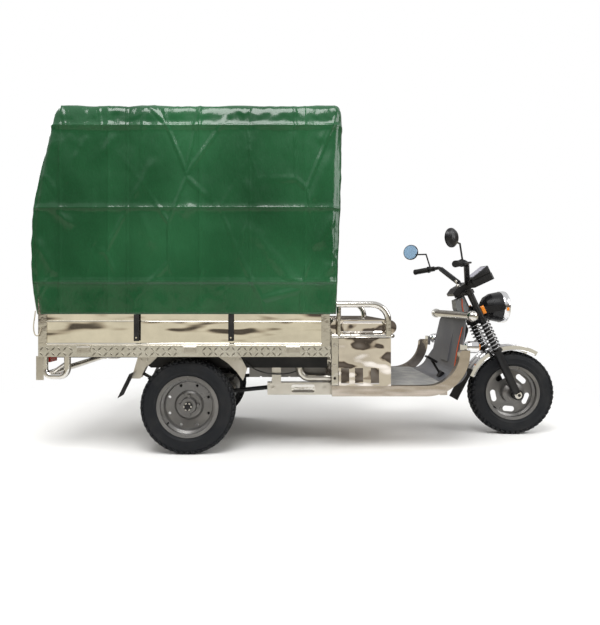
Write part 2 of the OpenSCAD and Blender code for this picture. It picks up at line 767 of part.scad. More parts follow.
module seat_panels() {
    louvre = [44, 86, 10];
    louvre_x = cab_x0 * [1, 1, 1] + [49, 124, 210];
    louvre_z = 371;
    wall = 8;
    inner = cab_y - panel_t;
    color(steel) {
        both_sides() {
            block([panel_x[0], inner - 2, step_z], [panel_x[1], cab_y - 2, panel_top]);
            for (x = louvre_x) front_profile(x, x + louvre[0])
                translate([cab_y - 2, louvre_z])
                    polygon([[-1, 0], [louvre[2], 0], [louvre[2] - 2, 6], [0, louvre[1]], [-1, louvre[1]]]);
        }
        for (x = [panel_x[0], panel_x[1] - wall]) {
            block([x, -inner + 1, step_z], [x + wall, inner - 1, panel_top - 4]);
            block([x, -inner + 20, step_z], [x + wall, inner - 20, seat_rail_z + 8]);
        }
    }
}

module seat_bench() {
    z0 = seat_rail_z + 8 + clear;
    r = (seat_z - z0) / 2;
    half = arm_y - arm_d / 2 - 2;
    color(steel) side_profile(0, 2 * half) {
        translate([seat_x[0] + r, z0]) square([seat_x[1] - seat_x[0] - 2 * r, 2 * r]);
        for (x = [seat_x[0] + r, seat_x[1] - r]) translate([x, z0 + r]) circle(r);
    }
}

module brake_pedal() {
    y = -100;
    x = front_x - 518;
    color(black) difference() {
        union() {
            rod([x + 2, y, 466], [x + 62, y, 368], 14);
            translate([x + 56, y, 378]) rotate([0, 31, 0]) cylinder(d = 34, h = 40, center = true);
            translate([x, y, 469]) rotate([0, 30, 0]) cube([66, 60, 12], center = true);
        }
        side_profile(y, 80) polygon(concat(
            [[shield_x - 40, floor_top]], [for (p = shield_arc) shield_c + shield_r * p],
            [[shield_x + 200, lean[0][1]], [shield_x + 200, 0], [shield_x - 40, 0]]));
    }
}

// Fork and everything that steers with it

module yoke(z, h) {
    translate([0, 0, z]) linear_extrude(h) {
        circle(d = 60);
        polygon([[-22, 0], [fork_v - 20, -fork_y], [fork_v + 20, -fork_y], [fork_v + 30, 0], [fork_v + 20, fork_y],
                 [fork_v - 20, fork_y]]);
        for (s = [-1, 1]) translate([fork_v, s * fork_y]) circle(d = fork_d + 16);
    }
}

module fork() {
    lug_d = 64;
    color(black) {
        on_head() {
            translate([0, 0, low_yoke_u]) cylinder(d = stem_d, h = top_yoke_u - low_yoke_u);
            yoke(low_yoke_u, yoke_t);
            yoke(top_yoke_u, yoke_t - 3);
            for (s = [-1, 1]) translate([fork_v, s * fork_y, 0]) {
                translate([0, 0, slider_u]) cylinder(d = fork_d, h = top_yoke_u + 30 - slider_u);
                translate([0, 0, axle_u + 10]) cylinder(d = slider_d, h = slider_u - axle_u - 10);
                translate([0, 0, slider_u - 8]) cylinder(d = coil_d - 4, h = 8);
                translate([0, 0, axle_u]) rotate([90, 0, 0]) cylinder(d = lug_d, h = 30, center = true);
            }
        }
        rod([front_x, -fork_y - 30, tyre_r], [front_x, fork_y + 30, tyre_r], spindle_d);
    }
}

// Coil of round wire from the slider's collar up to the lower yoke
module coil_spring() {
    turns = 8;
    steps = 12;
    sides = 8;
    wire_r = coil_wire / 2;
    mid_r = (coil_d - coil_wire) / 2;
    u0 = slider_u + wire_r + clear;
    rise = low_yoke_u - slider_u - coil_wire - 2 * clear;
    last = turns * steps;
    points = [for (i = [0 : last], j = [0 : sides - 1])
        let (a = 360 * i / steps, b = 360 * j / sides, r = mid_r + wire_r * cos(b))
        [r * cos(a), r * sin(a), u0 + rise * i / last + wire_r * sin(b)]];
    walls = [for (i = [0 : last - 1], j = [0 : sides - 1])
        let (k = (j + 1) % sides)
        [i * sides + j, i * sides + k, (i + 1) * sides + k, (i + 1) * sides + j]];
    ends = [[for (j = [sides - 1 : -1 : 0]) j], [for (j = [0 : sides - 1]) last * sides + j]];
    polyhedron(points, concat(walls, ends));
}

module fork_springs() {
    color(black) on_head() for (s = [-1, 1]) translate([fork_v, s * fork_y, 0]) coil_spring();
}

fender_r = 288;
fender_t = 3;
fender_w = 120;

module front_fender() {
    span = [60, 158];
    lip = 25;
    stay = [30, 20];
    stay_u = axle_u + fender_r - 18;
    color([0.80, 0.80, 0.82]) {
        translate([front_x, 0, tyre_r]) {
            side_profile(0, fender_w) arc_band(fender_r, fender_r + fender_t, span[0], span[1]);
            both_sides() side_profile(fender_w / 2 - fender_t / 2, fender_t)
                arc_band(fender_r - lip, fender_r + fender_t, span[0], span[1]);
        }
        on_head() both_sides()
            block([fork_v - stay[0] / 2, fender_w / 2 - 1, stay_u - stay[1] / 2],
                  [fork_v + stay[0] / 2, fork_y - slider_d / 2 - clear, stay_u + stay[1] / 2]);
    }
}

module front_mudflap() {
    top = [front_x - 253.5, tyre_r + 145];
    fall = [-95.5, -185];
    color(black) side_profile(0, 140)
        polygon([top, top + fall, top + fall + [-4, 2], top + [-4, 2]]);
}

bar_tube_d = 22;
bar_mid = [head[0] + 20, -45, head[1] + 91.5];
bar_bend = [head[0] - 60, -250, head[1] + 215.5];
bar_end = [head[0] - 175, -410, head[1] + 195.5];
grip_way = unit(bar_end - bar_bend);
function mirrored(p) = [p[0], -p[1], p[2]];
bar_path = [bar_end, bar_bend, bar_mid, mirrored(bar_mid), mirrored(bar_bend), mirrored(bar_end)];

module handlebar() {
    riser_d = 32;
    color(black) {
        bent_tube(bar_path, bar_tube_d, 45);
        both_sides() rod(bar_mid + 0.15 * (bar_bend - bar_mid), bar_mid + 0.92 * (bar_bend - bar_mid), riser_d);
    }
}

cover_v = [-50, 85];
cover_u = [top_yoke_u + yoke_t - 3 + clear, 92];

module handlebar_cover() {
    half = 62;
    color(black) difference() {
        on_head() side_profile(0, 2 * half)
            polygon([[cover_v[0], cover_u[0]], [cover_v[1], cover_u[0]], [cover_v[1], cover_u[1] - 22],
                     [cover_v[1] - 22, cover_u[1]], [cover_v[0] + 34, cover_u[1] - 8], [cover_v[0], cover_u[0] + 16]]);
        bent_tube(bar_path, bar_tube_d + 2 * clear, 45);
    }
}

module instrument() {
    size = [136, 130, 42];
    r = 16;
    color(black) on_head() translate([cover_v[1] + clear, 0, 42]) linear_extrude(size[2]) {
        translate([0, -size[1] / 2 + r]) square([size[0], size[1] - 2 * r]);
        translate([0, -size[1] / 2]) square([size[0] - r, size[1]]);
        for (s = [-1, 1]) translate([size[0] - r, s * (size[1] / 2 - r)]) circle(r);
    }
}

// Sleeve on the right-hand grip, between two distances from the bar's bend
module sleeve(from, to, d) {
    difference() {
        rod(bar_bend + from * grip_way, bar_bend + to * grip_way, d);
        rod(bar_bend + (from - 9) * grip_way, bar_bend + (to + 9) * grip_way, bar_tube_d + 2 * clear);
    }
}

grip_from = 84;

module grips() {
    reach = norm(bar_end - bar_bend);
    color(black) both_sides() {
        sleeve(grip_from, reach, 34);
        rod(bar_end + clear * grip_way, bar_end + 8 * grip_way, 38);
        sleeve(grip_from, grip_from + 8, 44);
        sleeve(reach - 4, reach + clear + 2, 38);
    }
}

module levers() {
    ahead = unit(cross([0, 0, 1], grip_way));
    pivot = bar_bend + 56 * grip_way;
    color(black) both_sides() {
        sleeve(44, 66, 34);
        bent_tube([pivot + 13 * ahead, pivot + 42 * ahead, pivot + 46 * ahead + 130 * grip_way], 11, 12);
        translate(pivot + 46 * ahead + 130 * grip_way) sphere(d = 17);
    }
}

module mirrors() {
    at = bar_end + [-30, -20, 140];
    turn = 55;                                // towards the driver
    foot = bar_bend + 75 * grip_way;
    elbow = foot + [-22, -22, 105];
    color(black) both_sides() {
        sleeve(68, 82, 32);
        rod(foot + [0, 0, 13], elbow, 10);
        translate(elbow) sphere(d = 11);
        rod(elbow, at + [9 * cos(turn), -9 * sin(turn), -16], 10);
        translate(at) rotate([0, 0, -turn]) rotate([0, 90, 0]) rotate_extrude()
            polygon([[0, -8], [49, -8], [53, -4], [53, 2], [43, 14], [26, 22], [0, 24]]);
    }
}

lamp_at = [head[0] + 116, 0, head[1] - 43.5];
lamp_d = 186;
lamp_l = 146;

module headlamp() {
    ear_t = 5;
    ear_x = 101;
    ear_y = lamp_d / 2 + clear;
    ear_v = fork_v + fork_d / 2 + clear;
    lamp_r = lamp_d / 2;
    color(black) {
        translate(lamp_at) rotate([0, 90, 0]) rotate_extrude() polygon([
            [0, 0], [34, 4], [62, 22], [82, 54], [90, 92], [lamp_r, 112], [lamp_r, lamp_l], [86, lamp_l], [86, 120],
            [0, 120]]);
        both_sides() {
            rod([lamp_at[0] + ear_x, lamp_r - 16, lamp_at[2]],
                [lamp_at[0] + ear_x, ear_y + ear_t + 3, lamp_at[2]], 15);
            side_profile(ear_y + ear_t / 2, ear_t) {
                translate([lamp_at[0] + ear_x, lamp_at[2]]) circle(d = 36);
                polygon([flat(in_head(ear_v, -120)), [lamp_at[0] + ear_x, lamp_at[2] - 17],
                         [lamp_at[0] + ear_x, lamp_at[2] + 17], flat(in_head(ear_v, -70))]);
            }
        }
    }
}

module headlamp_lens() {
    color([0.85, 0.90, 0.92]) translate(lamp_at) rotate([0, 90, 0]) rotate_extrude()
        polygon([[0, 120], [86 - clear, 120], [86 - clear, lamp_l - 4], [70, lamp_l + 6], [44, lamp_l + 12],
                 [0, lamp_l + 15]]);
}

chassis_rails();
lower_rails();
bed_floor();
bed_skirt();
side_board_right();
side_board_left();
front_board();
corner_posts();
board_hinges();
canopy_frame();
tarpaulin();
tie_straps();
rear_bumper();
tail_lamps();
spring_hangers();
leaf_springs();
rear_axle();
drive_motor();
torque_rods();
battery_box();
rear_mudflaps();
floor_frame();
floor_mat();
leg_shield();
shield_bar();
side_lamps();
head_frame();
column_cover();
seat_frame();
seat_panels();
seat_bench();
brake_pedal();
tailgate();
fork();
fork_springs();
front_fender();
front_mudflap();
handlebar();
handlebar_cover();
instrument();
grips();
levers();
mirrors();
headlamp();
headlamp_lens();
front_tyre();
front_rim();
rear_tyre_right();
rear_rim_right();
rear_tyre_left();
rear_rim_left();
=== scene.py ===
from math import cos, exp, hypot, pi, radians, sin

import bmesh
import bpy
from mathutils import Matrix, Vector, noise


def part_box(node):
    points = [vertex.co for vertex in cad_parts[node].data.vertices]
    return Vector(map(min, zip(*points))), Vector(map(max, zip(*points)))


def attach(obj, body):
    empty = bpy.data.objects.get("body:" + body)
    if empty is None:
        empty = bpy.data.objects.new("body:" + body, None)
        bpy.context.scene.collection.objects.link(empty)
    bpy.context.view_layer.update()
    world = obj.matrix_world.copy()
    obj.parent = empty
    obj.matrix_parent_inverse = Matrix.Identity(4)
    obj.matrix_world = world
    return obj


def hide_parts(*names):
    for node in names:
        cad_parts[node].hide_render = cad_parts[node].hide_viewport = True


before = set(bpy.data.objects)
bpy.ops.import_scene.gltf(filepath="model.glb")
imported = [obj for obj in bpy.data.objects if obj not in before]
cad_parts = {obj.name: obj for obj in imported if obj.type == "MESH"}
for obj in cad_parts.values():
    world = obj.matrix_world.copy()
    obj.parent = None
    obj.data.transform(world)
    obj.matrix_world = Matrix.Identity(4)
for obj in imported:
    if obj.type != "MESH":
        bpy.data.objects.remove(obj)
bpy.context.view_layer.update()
scene = bpy.context.scene

# The view: an eye-level side view of the right flank from three metres off,
# taken with a wide lens whose frame is shifted a little off its middle.
camera = bpy.data.objects.new("side_view", bpy.data.cameras.new("side_view"))
scene.collection.objects.link(camera)
camera.location = (-0.1875, -3.2, 0.8245)
camera.rotation_euler = (radians(90), 0, 0)
camera.data.sensor_width = 36
camera.data.lens = 29.66
camera.data.shift_x = 0.032
camera.data.shift_y = -0.02
scene.camera = camera
scene.view_settings.view_transform = "Standard"


# The studio floor: a round of pale matt paint under the vehicle, which catches its
# shadow and thins out into the white around it.
def feed(tree, node, values):
    """Sets a node's inputs, or links them where the value is another node's output."""
    for name, value in values.items():
        if isinstance(value, bpy.types.NodeSocket):
            tree.links.new(value, node.inputs[name])
        else:
            node.inputs[name].default_value = value


def add_node(tree, kind, values=None, **fields):
    """A new shader node, with its fields set and its inputs fed."""
    made = tree.nodes.new("ShaderNode" + kind)
    for field, value in fields.items():
        setattr(made, field, value)
    feed(tree, made, values or {})
    return made


def new_finish(name):
    """An empty finish: the material, its node tree and its surface shader."""
    made = bpy.data.materials.new(name)
    made.use_nodes = True
    return made, made.node_tree, made.node_tree.nodes["Principled BSDF"]


floor_r = 6.0
thin_from, thin_to = 1.5, 3.1
bm = bmesh.new()
bmesh.ops.create_circle(bm, cap_ends=True, radius=floor_r, segments=64)
floor_mesh = bpy.data.meshes.new("studio_floor")
bm.to_mesh(floor_mesh)
bm.free()
floor = bpy.data.objects.new("studio_floor", floor_mesh)
scene.collection.objects.link(floor)

floor_paint, tree, paint = new_finish("studio_floor")
feed(tree, paint, {"Base Color": (0.86, 0.855, 0.84, 1), "Roughness": 0.75})
place = add_node(tree, "TexCoord").outputs["Object"]
reach = add_node(tree, "VectorMath", {0: place}, operation="LENGTH")
thin = add_node(tree, "MapRange", {"Value": reach.outputs["Value"], "From Min": thin_from,
                                   "From Max": thin_to}, interpolation_type="SMOOTHSTEP")
clear_air = add_node(tree, "BsdfTransparent")
blend_out = add_node(tree, "MixShader", {"Fac": thin.outputs["Result"], 1: paint.outputs["BSDF"],
                                         2: clear_air.outputs["BSDF"]})
feed(tree, tree.nodes["Material Output"], {"Surface": blend_out.outputs["Shader"]})
floor_mesh.materials.append(floor_paint)


# The surround: plain white where the camera looks at it. What the polished sheet
# mirrors is a yard with pale ground, a dark band at eye level and a bright sky.
def ramp_node(tree, value, stops):
    """A colour ramp over a value, from the place and the colour of each stop."""
    made = add_node(tree, "ValToRGB", {"Fac": value})
    points = made.color_ramp.elements
    for k, (at, colour) in enumerate((stops[0], stops[-1])):
        points[k].position = at
        points[k].color = (*colour, 1)
    for at, colour in stops[1:-1]:
        points.new(at).color = (*colour, 1)
    return made.outputs["Color"]


surround = bpy.data.worlds.new("studio")
surround.use_nodes = True
scene.world = surround
tree = surround.node_tree
tree.nodes.clear()
way = add_node(tree, "TexCoord").outputs["Generated"]
split = add_node(tree, "SeparateXYZ", {"Vector": way})
patches = add_node(tree, "TexNoise", {"Vector": way, "Scale": 3.0, "Detail": 3.0})
drift = add_node(tree, "Math", {0: patches.outputs["Fac"], 1: 0.26, 2: -0.13}, operation="MULTIPLY_ADD")
height = add_node(tree, "Math", {0: split.outputs["Z"], 1: drift.outputs["Value"]}, operation="ADD")
to_ramp = add_node(tree, "MapRange", {"Value": height.outputs["Value"], "From Min": -0.5, "From Max": 0.5})
walls = ramp_node(tree, to_ramp.outputs["Result"], (
    (0.20, (0.84, 0.78, 0.64)), (0.455, (0.98, 0.92, 0.75)), (0.485, (0.60, 0.52, 0.40)),
    (0.505, (0.10, 0.085, 0.07)), (0.62, (0.22, 0.19, 0.16)), (0.78, (0.34, 0.32, 0.29)), (0.92, (1, 1, 1))))
room = add_node(tree, "Background", {"Color": walls, "Strength": 0.75})
white = add_node(tree, "Background", {"Color": (1, 1, 1, 1)})
rays = add_node(tree, "LightPath").outputs
straight = add_node(tree, "Math", {0: rays["Is Camera Ray"], 1: rays["Is Transmission Ray"]},
                    operation="MAXIMUM")
seen = add_node(tree, "MixShader", {"Fac": straight.outputs["Value"], 1: room.outputs["Background"],
                                    2: white.outputs["Background"]})
add_node(tree, "OutputWorld", {"Surface": seen.outputs["Shader"]})

# The lamps: a large soft one overhead on the camera's side and two weaker ones at
# the ends, each turned to a point on the vehicle.
for name, at, aim, size, power in (
        ("key_lamp", (-0.6, -3.0, 5.2), (-0.3, 0, 0.7), 3.0, 270),
        ("front_lamp", (3.6, -1.6, 2.4), (0.6, 0, 0.7), 2.0, 60),
        ("rear_lamp", (-3.6, 2.2, 2.8), (-0.6, 0, 0.8), 2.4, 70)):
    lamp = bpy.data.objects.new(name, bpy.data.lights.new(name, "AREA"))
    lamp.data.size = size
    lamp.data.energy = power
    lamp.location = at
    lamp.rotation_euler = (Vector(at) - Vector(aim)).to_track_quat("Z", "Y").to_euler()
    scene.collection.objects.link(lamp)


# The chassis: welded box rails, bearers, axle, springs and rods in satin black
# paint, brushed on thick and dusty in patches.
def raised(tree, height, strength, distance, under=None):
    """Relief from a height, laid over another one where there is one."""
    made = add_node(tree, "Bump", {"Height": height, "Strength": strength, "Distance": distance})
    if under is not None:
        feed(tree, made, {"Normal": under})
    return made.outputs["Normal"]


def coated(name, colour, dust, rough, grain=40.0, metal=0.0, bump=0.04, gloss=0.5):
    """A painted, moulded or rubber finish: its colour, the dust on it and its grain."""
    made, tree, shader = new_finish(name)
    place = add_node(tree, "TexCoord").outputs["Object"]
    noisy = add_node(tree, "TexNoise", {"Vector": place, "Scale": grain * 0.2, "Detail": 6.0})
    patches = noisy.outputs["Fac"]
    spread = add_node(tree, "MapRange", {"Value": patches, "To Min": rough - 0.08, "To Max": rough + 0.14})
    fine = add_node(tree, "TexNoise", {"Vector": place, "Scale": grain * 6, "Detail": 3.0})
    feed(tree, shader, {"Base Color": ramp_node(tree, patches, ((0.45, colour), (0.85, dust))),
                        "Metallic": metal, "Specular IOR Level": gloss,
                        "Roughness": spread.outputs["Result"],
                        "Normal": raised(tree, fine.outputs["Fac"], bump, 0.002)})
    return made


def dress(finish, *names):
    """Gives CAD nodes their finish."""
    for name in names:
        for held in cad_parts[name].material_slots:
            held.material = finish


black_paint = coated("black_paint", (0.007, 0.007, 0.008), (0.026, 0.024, 0.022), 0.34, gloss=0.28)
dress(black_paint, "chassis_rails", "rear_axle", "leaf_springs", "torque_rods", "head_frame", "fork",
      "brake_pedal", "levers", "handlebar")
motor_casting = coated("motor_casting", (0.16, 0.165, 0.17), (0.24, 0.23, 0.21), 0.5, metal=0.7, bump=0.15)
dress(motor_casting, "drive_motor")
dress(coated("battery_case", (0.20, 0.19, 0.175), (0.30, 0.28, 0.25), 0.45), "battery_box")


# The bed: polished stainless sheet pressed into boards with a rolled lower edge,
# bolted between folded corner posts. Thin sheet this bright is never quite flat.
def bright_sheet(name, tint, rough, wave, wave_scale, streak=(1, 1, 1)):
    """Mirror-polished stainless, with the slow waves of thin sheet and the smears on it."""
    made, tree, shader = new_finish(name)
    place = add_node(tree, "TexCoord").outputs["Object"]
    smear = add_node(tree, "TexNoise", {"Vector": place, "Scale": 9.0, "Detail": 5.0}).outputs["Fac"]
    tints = ramp_node(tree, smear, ((0.3, [0.86 * c for c in tint]), (0.65, tint)))
    spread = add_node(tree, "MapRange", {"Value": smear, "To Min": rough * 0.6, "To Max": rough * 1.5})
    along = add_node(tree, "Mapping", {"Vector": place, "Scale": streak}).outputs["Vector"]
    waves = add_node(tree, "TexNoise", {"Vector": along, "Scale": wave_scale, "Detail": 2.0})
    feed(tree, shader, {"Base Color": tints, "Metallic": 1.0, "Roughness": spread.outputs["Result"],
                        "Normal": raised(tree, waves.outputs["Fac"], 1.0, wave)})
    return made


long_waves = (0.3, 1.0, 1.0)
board_sheet = bright_sheet("board_sheet", (0.88, 0.84, 0.75), 0.055, 0.0065, 8.0, long_waves)
dress(board_sheet, "side_board_right", "side_board_left", "front_board", "tailgate", "bed_floor")
tube_polish = bright_sheet("tube_polish", (0.66, 0.64, 0.60), 0.12, 0.0010, 30.0)
dress(tube_polish, "corner_posts", "rear_bumper", "seat_frame", "shield_bar")
dress(bright_sheet("rail_sheet", (0.52, 0.465, 0.41), 0.16, 0.0040, 10.0, long_waves), "floor_frame")
dull_plate = bright_sheet("dull_plate", (0.62, 0.59, 0.53), 0.30, 0.0005, 40.0)
dress(dull_plate, "lower_rails", "board_hinges", "spring_hangers", "canopy_frame")


# The skirt under the boards: chequered plate, rolled with raised lozenges that
# lean left and right by turns, left bare where the hinge leaves are welded.
def finish_piece(name, bm, finish, body, smooth=True):
    """Makes one object of a bmesh, in the shared frame, riding on a body."""
    mesh = bpy.data.meshes.new(name)
    bm.to_mesh(mesh)
    bm.free()
    mesh.materials.append(finish)
    if smooth:
        mesh.shade_smooth()
    else:
        mesh.shade_flat()
    piece = bpy.data.objects.new(name, mesh)
    scene.collection.objects.link(piece)
    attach(piece, body)
    return piece


def cone(bm, place, low_r, high_r, depth, segments):
    """A round or many-sided stub, half on each side of its place."""
    bmesh.ops.create_cone(bm, cap_ends=True, segments=segments, radius1=low_r, radius2=high_r, depth=depth,
                          matrix=place)


skirt_low, skirt_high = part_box("bed_skirt")
hinge_x = (-1.216, -0.660, -0.120)
tail_hinge_y = 0.250
bare = 0.050                                  # kept clear on each side of a hinge
lozenge_foot, lozenge_crown, lozenge_h = 0.0165, 0.0125, 0.0020
proud = lozenge_h / 2 - 0.0002                # the foot is sunk a little into the plate
pitch = 0.0305
row_inset = 0.0145


def press_lozenge(bm, at, turn, odd):
    """One lozenge on a face of the skirt, leaning to one side or the other."""
    lean = Matrix.Rotation(radians(45 if odd else -45), 4, "Z")
    cone(bm, Matrix.Translation(at) @ turn @ lean @ Matrix.Diagonal((1, 0.30, 1, 1)),
         lozenge_foot, lozenge_crown, lozenge_h, 4)


chequer = bright_sheet("chequer_plate", (0.74, 0.73, 0.69), 0.22, 0.0008, 30.0)
dress(chequer, "bed_skirt")
bm = bmesh.new()
for row, z in enumerate((skirt_low.z + row_inset, skirt_high.z - row_inset)):
    for column in range(50):
        x = skirt_low.x + 0.018 + column * pitch
        if min(abs(x - h) for h in hinge_x) > bare:
            for side in (-1, 1):
                press_lozenge(bm, (x, side * (skirt_high.y + proud), z),
                              Matrix.Rotation(-side * pi / 2, 4, "X"), (row + column) % 2)
    for column in range(32):
        y = skirt_low.y + 0.027 + column * pitch
        if abs(abs(y) - tail_hinge_y) > bare:
            press_lozenge(bm, (skirt_low.x - proud, y, z),
                          Matrix.Rotation(-pi / 2, 4, "Y"), (row + column) % 2)
# The lozenges are given a darker, rougher steel than the plate around them.
dark_lozenge_steel = bright_sheet("dark_lozenge_steel", (0.30, 0.28, 0.24), 0.32, 0.0004, 60.0)
finish_piece("skirt_lozenges", bm, dark_lozenge_steel, "chassis", smooth=False)

# The tarpaulin: one sheet of green coated cloth, folded for storage into squares
# whose creases still show, thrown over the hoops and pulled down on the boards.
cover_half, cover_top, cover_hem = 0.5115, 1.8565, 0.7505
cover_long, cover_high = 1.510, cover_top - cover_hem
shoulder, end_round = 0.057, 0.045
shell_top, shell_high = 1.860, 1.110
rear_top_x, rear_belly, rear_arc = -1.364, 0.128, radians(130)
front_hem_x, front_lean, front_high = 0.097, 0.044, 1.037
gate_mouth, gate_hem = 0.450, 0.8905
rear_face_x = -1.38
hoop_x = (-1.300, -0.860, -0.400, 0.050)
roof_tube_y = (-0.300, 0.0, 0.300)
mid_rail_z = 1.300
crease_x = (-1.3345, -1.0843, -0.9852, -0.6046, -0.3439, -0.0571)
crease_x_rise = (0.0035, 0.0030, -0.0035, 0.0060, -0.0040, 0.0035)
crease_z = (1.737, 1.307, 0.919)
crease_z_rise = (0.0070, 0.0060, 0.0060)
crease_snap = (0.0066, 0.0063)
flat_on = 0.6                                 # a normal's share that puts it on a face of the cover
most_in, most_out = -0.010, 0.014
# The pulls are folds that run from a held point: their ends in x and z, rise and width.
pulls = (
    ((-0.841, 1.568), (-0.950, 1.348), 0.007, 0.016), ((0.082, 1.600), (-0.040, 1.294), 0.010, 0.022),
    ((0.104, 1.283), (-0.007, 1.085), 0.009, 0.020), ((-1.400, 1.325), (-1.258, 1.205), 0.009, 0.022),
    ((-1.466, 1.151), (-1.345, 0.931), 0.009, 0.024), ((0.082, 1.020), (0.004, 0.899), 0.008, 0.018),
    ((-0.928, 1.305), (-0.841, 1.085), 0.005, 0.020), ((-0.358, 1.459), (-0.325, 1.305), 0.005, 0.014),
    ((-1.190, 1.690), (-1.265, 1.540), 0.006, 0.012), ((0.090, 1.760), (0.020, 1.640), 0.008, 0.020),
    ((-1.330, 1.700), (-1.300, 1.420), 0.006, 0.030), ((0.089, 1.190), (0.086, 0.960), 0.007, 0.009),
    ((-0.300, 1.740), (-0.360, 1.560), 0.006, 0.014), ((-1.050, 1.700), (-1.110, 1.580), 0.007, 0.010),
    ((-0.640, 1.330), (-0.700, 1.260), 0.008, 0.012), ((-0.130, 1.720), (-0.160, 1.420), 0.005, 0.018))


def clamp(value, low, high):
    return min(max(value, low), high)


def rear_edge(z):
    """Where the sheet's rear lies at a height: it bellies out below the roof."""
    return rear_top_x - rear_belly * sin(rear_arc * (shell_top - z) / shell_high)


def front_edge(z):
    """Where the sheet's front lies at a height: it leans forward towards the roof."""
    return front_hem_x + front_lean * min((z - cover_hem) / front_high, 1)


def over_hoops(co):
    """Where a point of the flat-sided box lies on the rounded cover."""
    box = Vector(((co.x + 0.5) * cover_long, 2 * co.y * cover_half, (co.z + 0.5) * cover_high))
    inner = Vector((clamp(box.x, end_round, cover_long - end_round),
                    clamp(box.y, shoulder - cover_half, cover_half - shoulder),
                    min(box.z, cover_high - shoulder)))
    out = box - inner
    part = Vector((out.x / end_round, out.y / shoulder, out.z / shoulder))
    if part.length > 1e-9:
        out *= max(abs(c) for c in part) / part.length
    p = inner + out
    z = cover_hem + p.z
    return Vector((rear_edge(z) + (front_edge(z) - rear_edge(z)) * p.x / cover_long, p.y, z))


def near_line(x, z, a, b, width):
    """1 on a fold line, falling away across it and towards its ends."""
    run = (b[0] - a[0], b[1] - a[1])
    t = ((x - a[0]) * run[0] + (z - a[1]) * run[1]) / (run[0] ** 2 + run[1] ** 2)
    if not 0 < t < 1:
        return 0
    across = hypot(x - a[0] - t * run[0], z - a[1] - t * run[1])
    return exp(-across / width) * min(1, 5 * t, 5 * (1 - t))


def creases(at, marks, rises, width):
    """The rise of the storage creases at a place along one axis."""
    return sum(h * exp(-abs(at - c) / width) for c, h in zip(marks, rises))


def crumple(p, scale, seed):
    """Ridged wrinkles of stiff cloth."""
    q = p * scale + Vector((seed, 3 * seed, -seed))
    return 0.5 - abs(noise.noise(q)) - 0.5 * abs(noise.noise(q * 2.1))


def cloth_rise(p, n):
    """How far the cloth stands off its stretched form: creases and pulls on the sides, sag between
    the tubes of the roof, and upright folds at the ends."""
    x, z = p.x, p.z
    bay = [(a, b) for a, b in zip(hoop_x, hoop_x[1:]) if a <= x <= b]
    slack = sin(pi * (x - bay[0][0]) / (bay[0][1] - bay[0][0])) ** 2 if bay else 0
    rise = 0.003 * noise.noise(p * 2.3) + 0.0025 * crumple(p, 5.0, 7.0)
    if abs(n.y) > flat_on:
        rise += creases(x, crease_x, crease_x_rise, 0.010) + creases(z, crease_z, crease_z_rise, 0.009)
        rise += sum(h * near_line(x, z, a, b, w) for a, b, h, w in pulls)
        rise -= 0.006 * slack * min(abs(z - mid_rail_z) / 0.2, 1) * (z < cover_top - 0.12)
        rise += 0.007 * crumple(p, 14.0, 2.0) * clamp((z - 1.715) / 0.03, 0, 1)
        rise += 0.004 * sin(x * 21 + 2 * sin(x * 5)) * max(0, (0.95 - z) / 0.2)
    elif n.z > flat_on:
        free = slack * (1 - exp(-(min(abs(p.y - y) for y in roof_tube_y) / 0.045) ** 2))
        rise = max(rise + 0.006 * crumple(p, 9.0, 4.0) - 0.012 * free, 0.0004 - 0.010 * free)
    else:
        drop = clamp(cover_top - z, 0, 1)
        rise += (0.004 + 0.010 * drop) * sin(p.y * 26 + 1.5 * sin(3 * z + 4 * p.y))
        rise += creases(z, crease_z, crease_z_rise, 0.010) + 0.006 * crumple(p, 8.0, 9.0)
    return clamp(rise, most_in, most_out)


bm = bmesh.new()
bmesh.ops.create_cube(bm, size=1.0)
bmesh.ops.delete(bm, geom=[f for f in bm.faces if f.normal.z < -0.5], context="FACES_ONLY")
for axis, cuts in ((0, 116), (1, 74), (2, 88)):
    along = [e for e in bm.edges if abs((e.verts[0].co - e.verts[1].co)[axis]) > 0.5]
    bmesh.ops.subdivide_edges(bm, edges=along, cuts=cuts, use_grid_fill=True)
for v in bm.verts:
    v.co = over_hoops(v.co)
bm.normal_update()
for v in bm.verts:
    if abs(v.normal.y) > flat_on:             # rows and columns of the net lie on the creases
        for c in crease_x:
            if abs(v.co.x - c) < crease_snap[0]:
                v.co.x = c
        for c in crease_z:
            if abs(v.co.z - c) < crease_snap[1]:
                v.co.z = c
moved = [(v, v.co + v.normal * cloth_rise(v.co, v.normal)) for v in bm.verts]
for v, at in moved:
    v.co = at
for normal, edge in (((0, 0, 1), (0, 0, gate_hem)), ((0, 1, 0), (0, gate_mouth, 0)),
                     ((0, 1, 0), (0, -gate_mouth, 0))):
    parts = [f for f in bm.faces if f.calc_center_median().x < rear_face_x]
    around = {e for f in parts for e in f.edges} | {v for f in parts for v in f.verts}
    bmesh.ops.bisect_plane(bm, geom=parts + list(around), dist=1e-6, plane_co=edge, plane_no=normal)
middles = [(f, f.calc_center_median()) for f in bm.faces]
mouth = [f for f, at in middles if at.x < rear_face_x and at.z < gate_hem and abs(at.y) < gate_mouth]
bmesh.ops.delete(bm, geom=mouth, context="FACES")
bmesh.ops.recalc_face_normals(bm, faces=bm.faces[:])

cloth_green, tree, shader = new_finish("coated_cloth")
coords = add_node(tree, "TexCoord").outputs
place = coords["Object"]
apart = add_node(tree, "SeparateXYZ", {"Vector": place}).outputs


def fold_profile(tree, along, low, high, marks, levels, ridge):
    """The sheet's height along one axis: a level at each storage crease, and a sharp ridge on it; the cloth's
    colour also takes these levels as painted shade and painted highlight.
    """
    reach = add_node(tree, "MapRange", {"Value": along, "From Min": low, "From Max": high})
    stops = [((mark + step - low) / (high - low), (level + rise,) * 3) for mark, level in zip(marks, levels)
             for step, rise in ((-0.009, 0), (0, ridge), (0.009, 0))]
    grey = (0.5,) * 3
    return ramp_node(tree, reach.outputs["Result"], [(0, grey), *stops, (1, grey)])


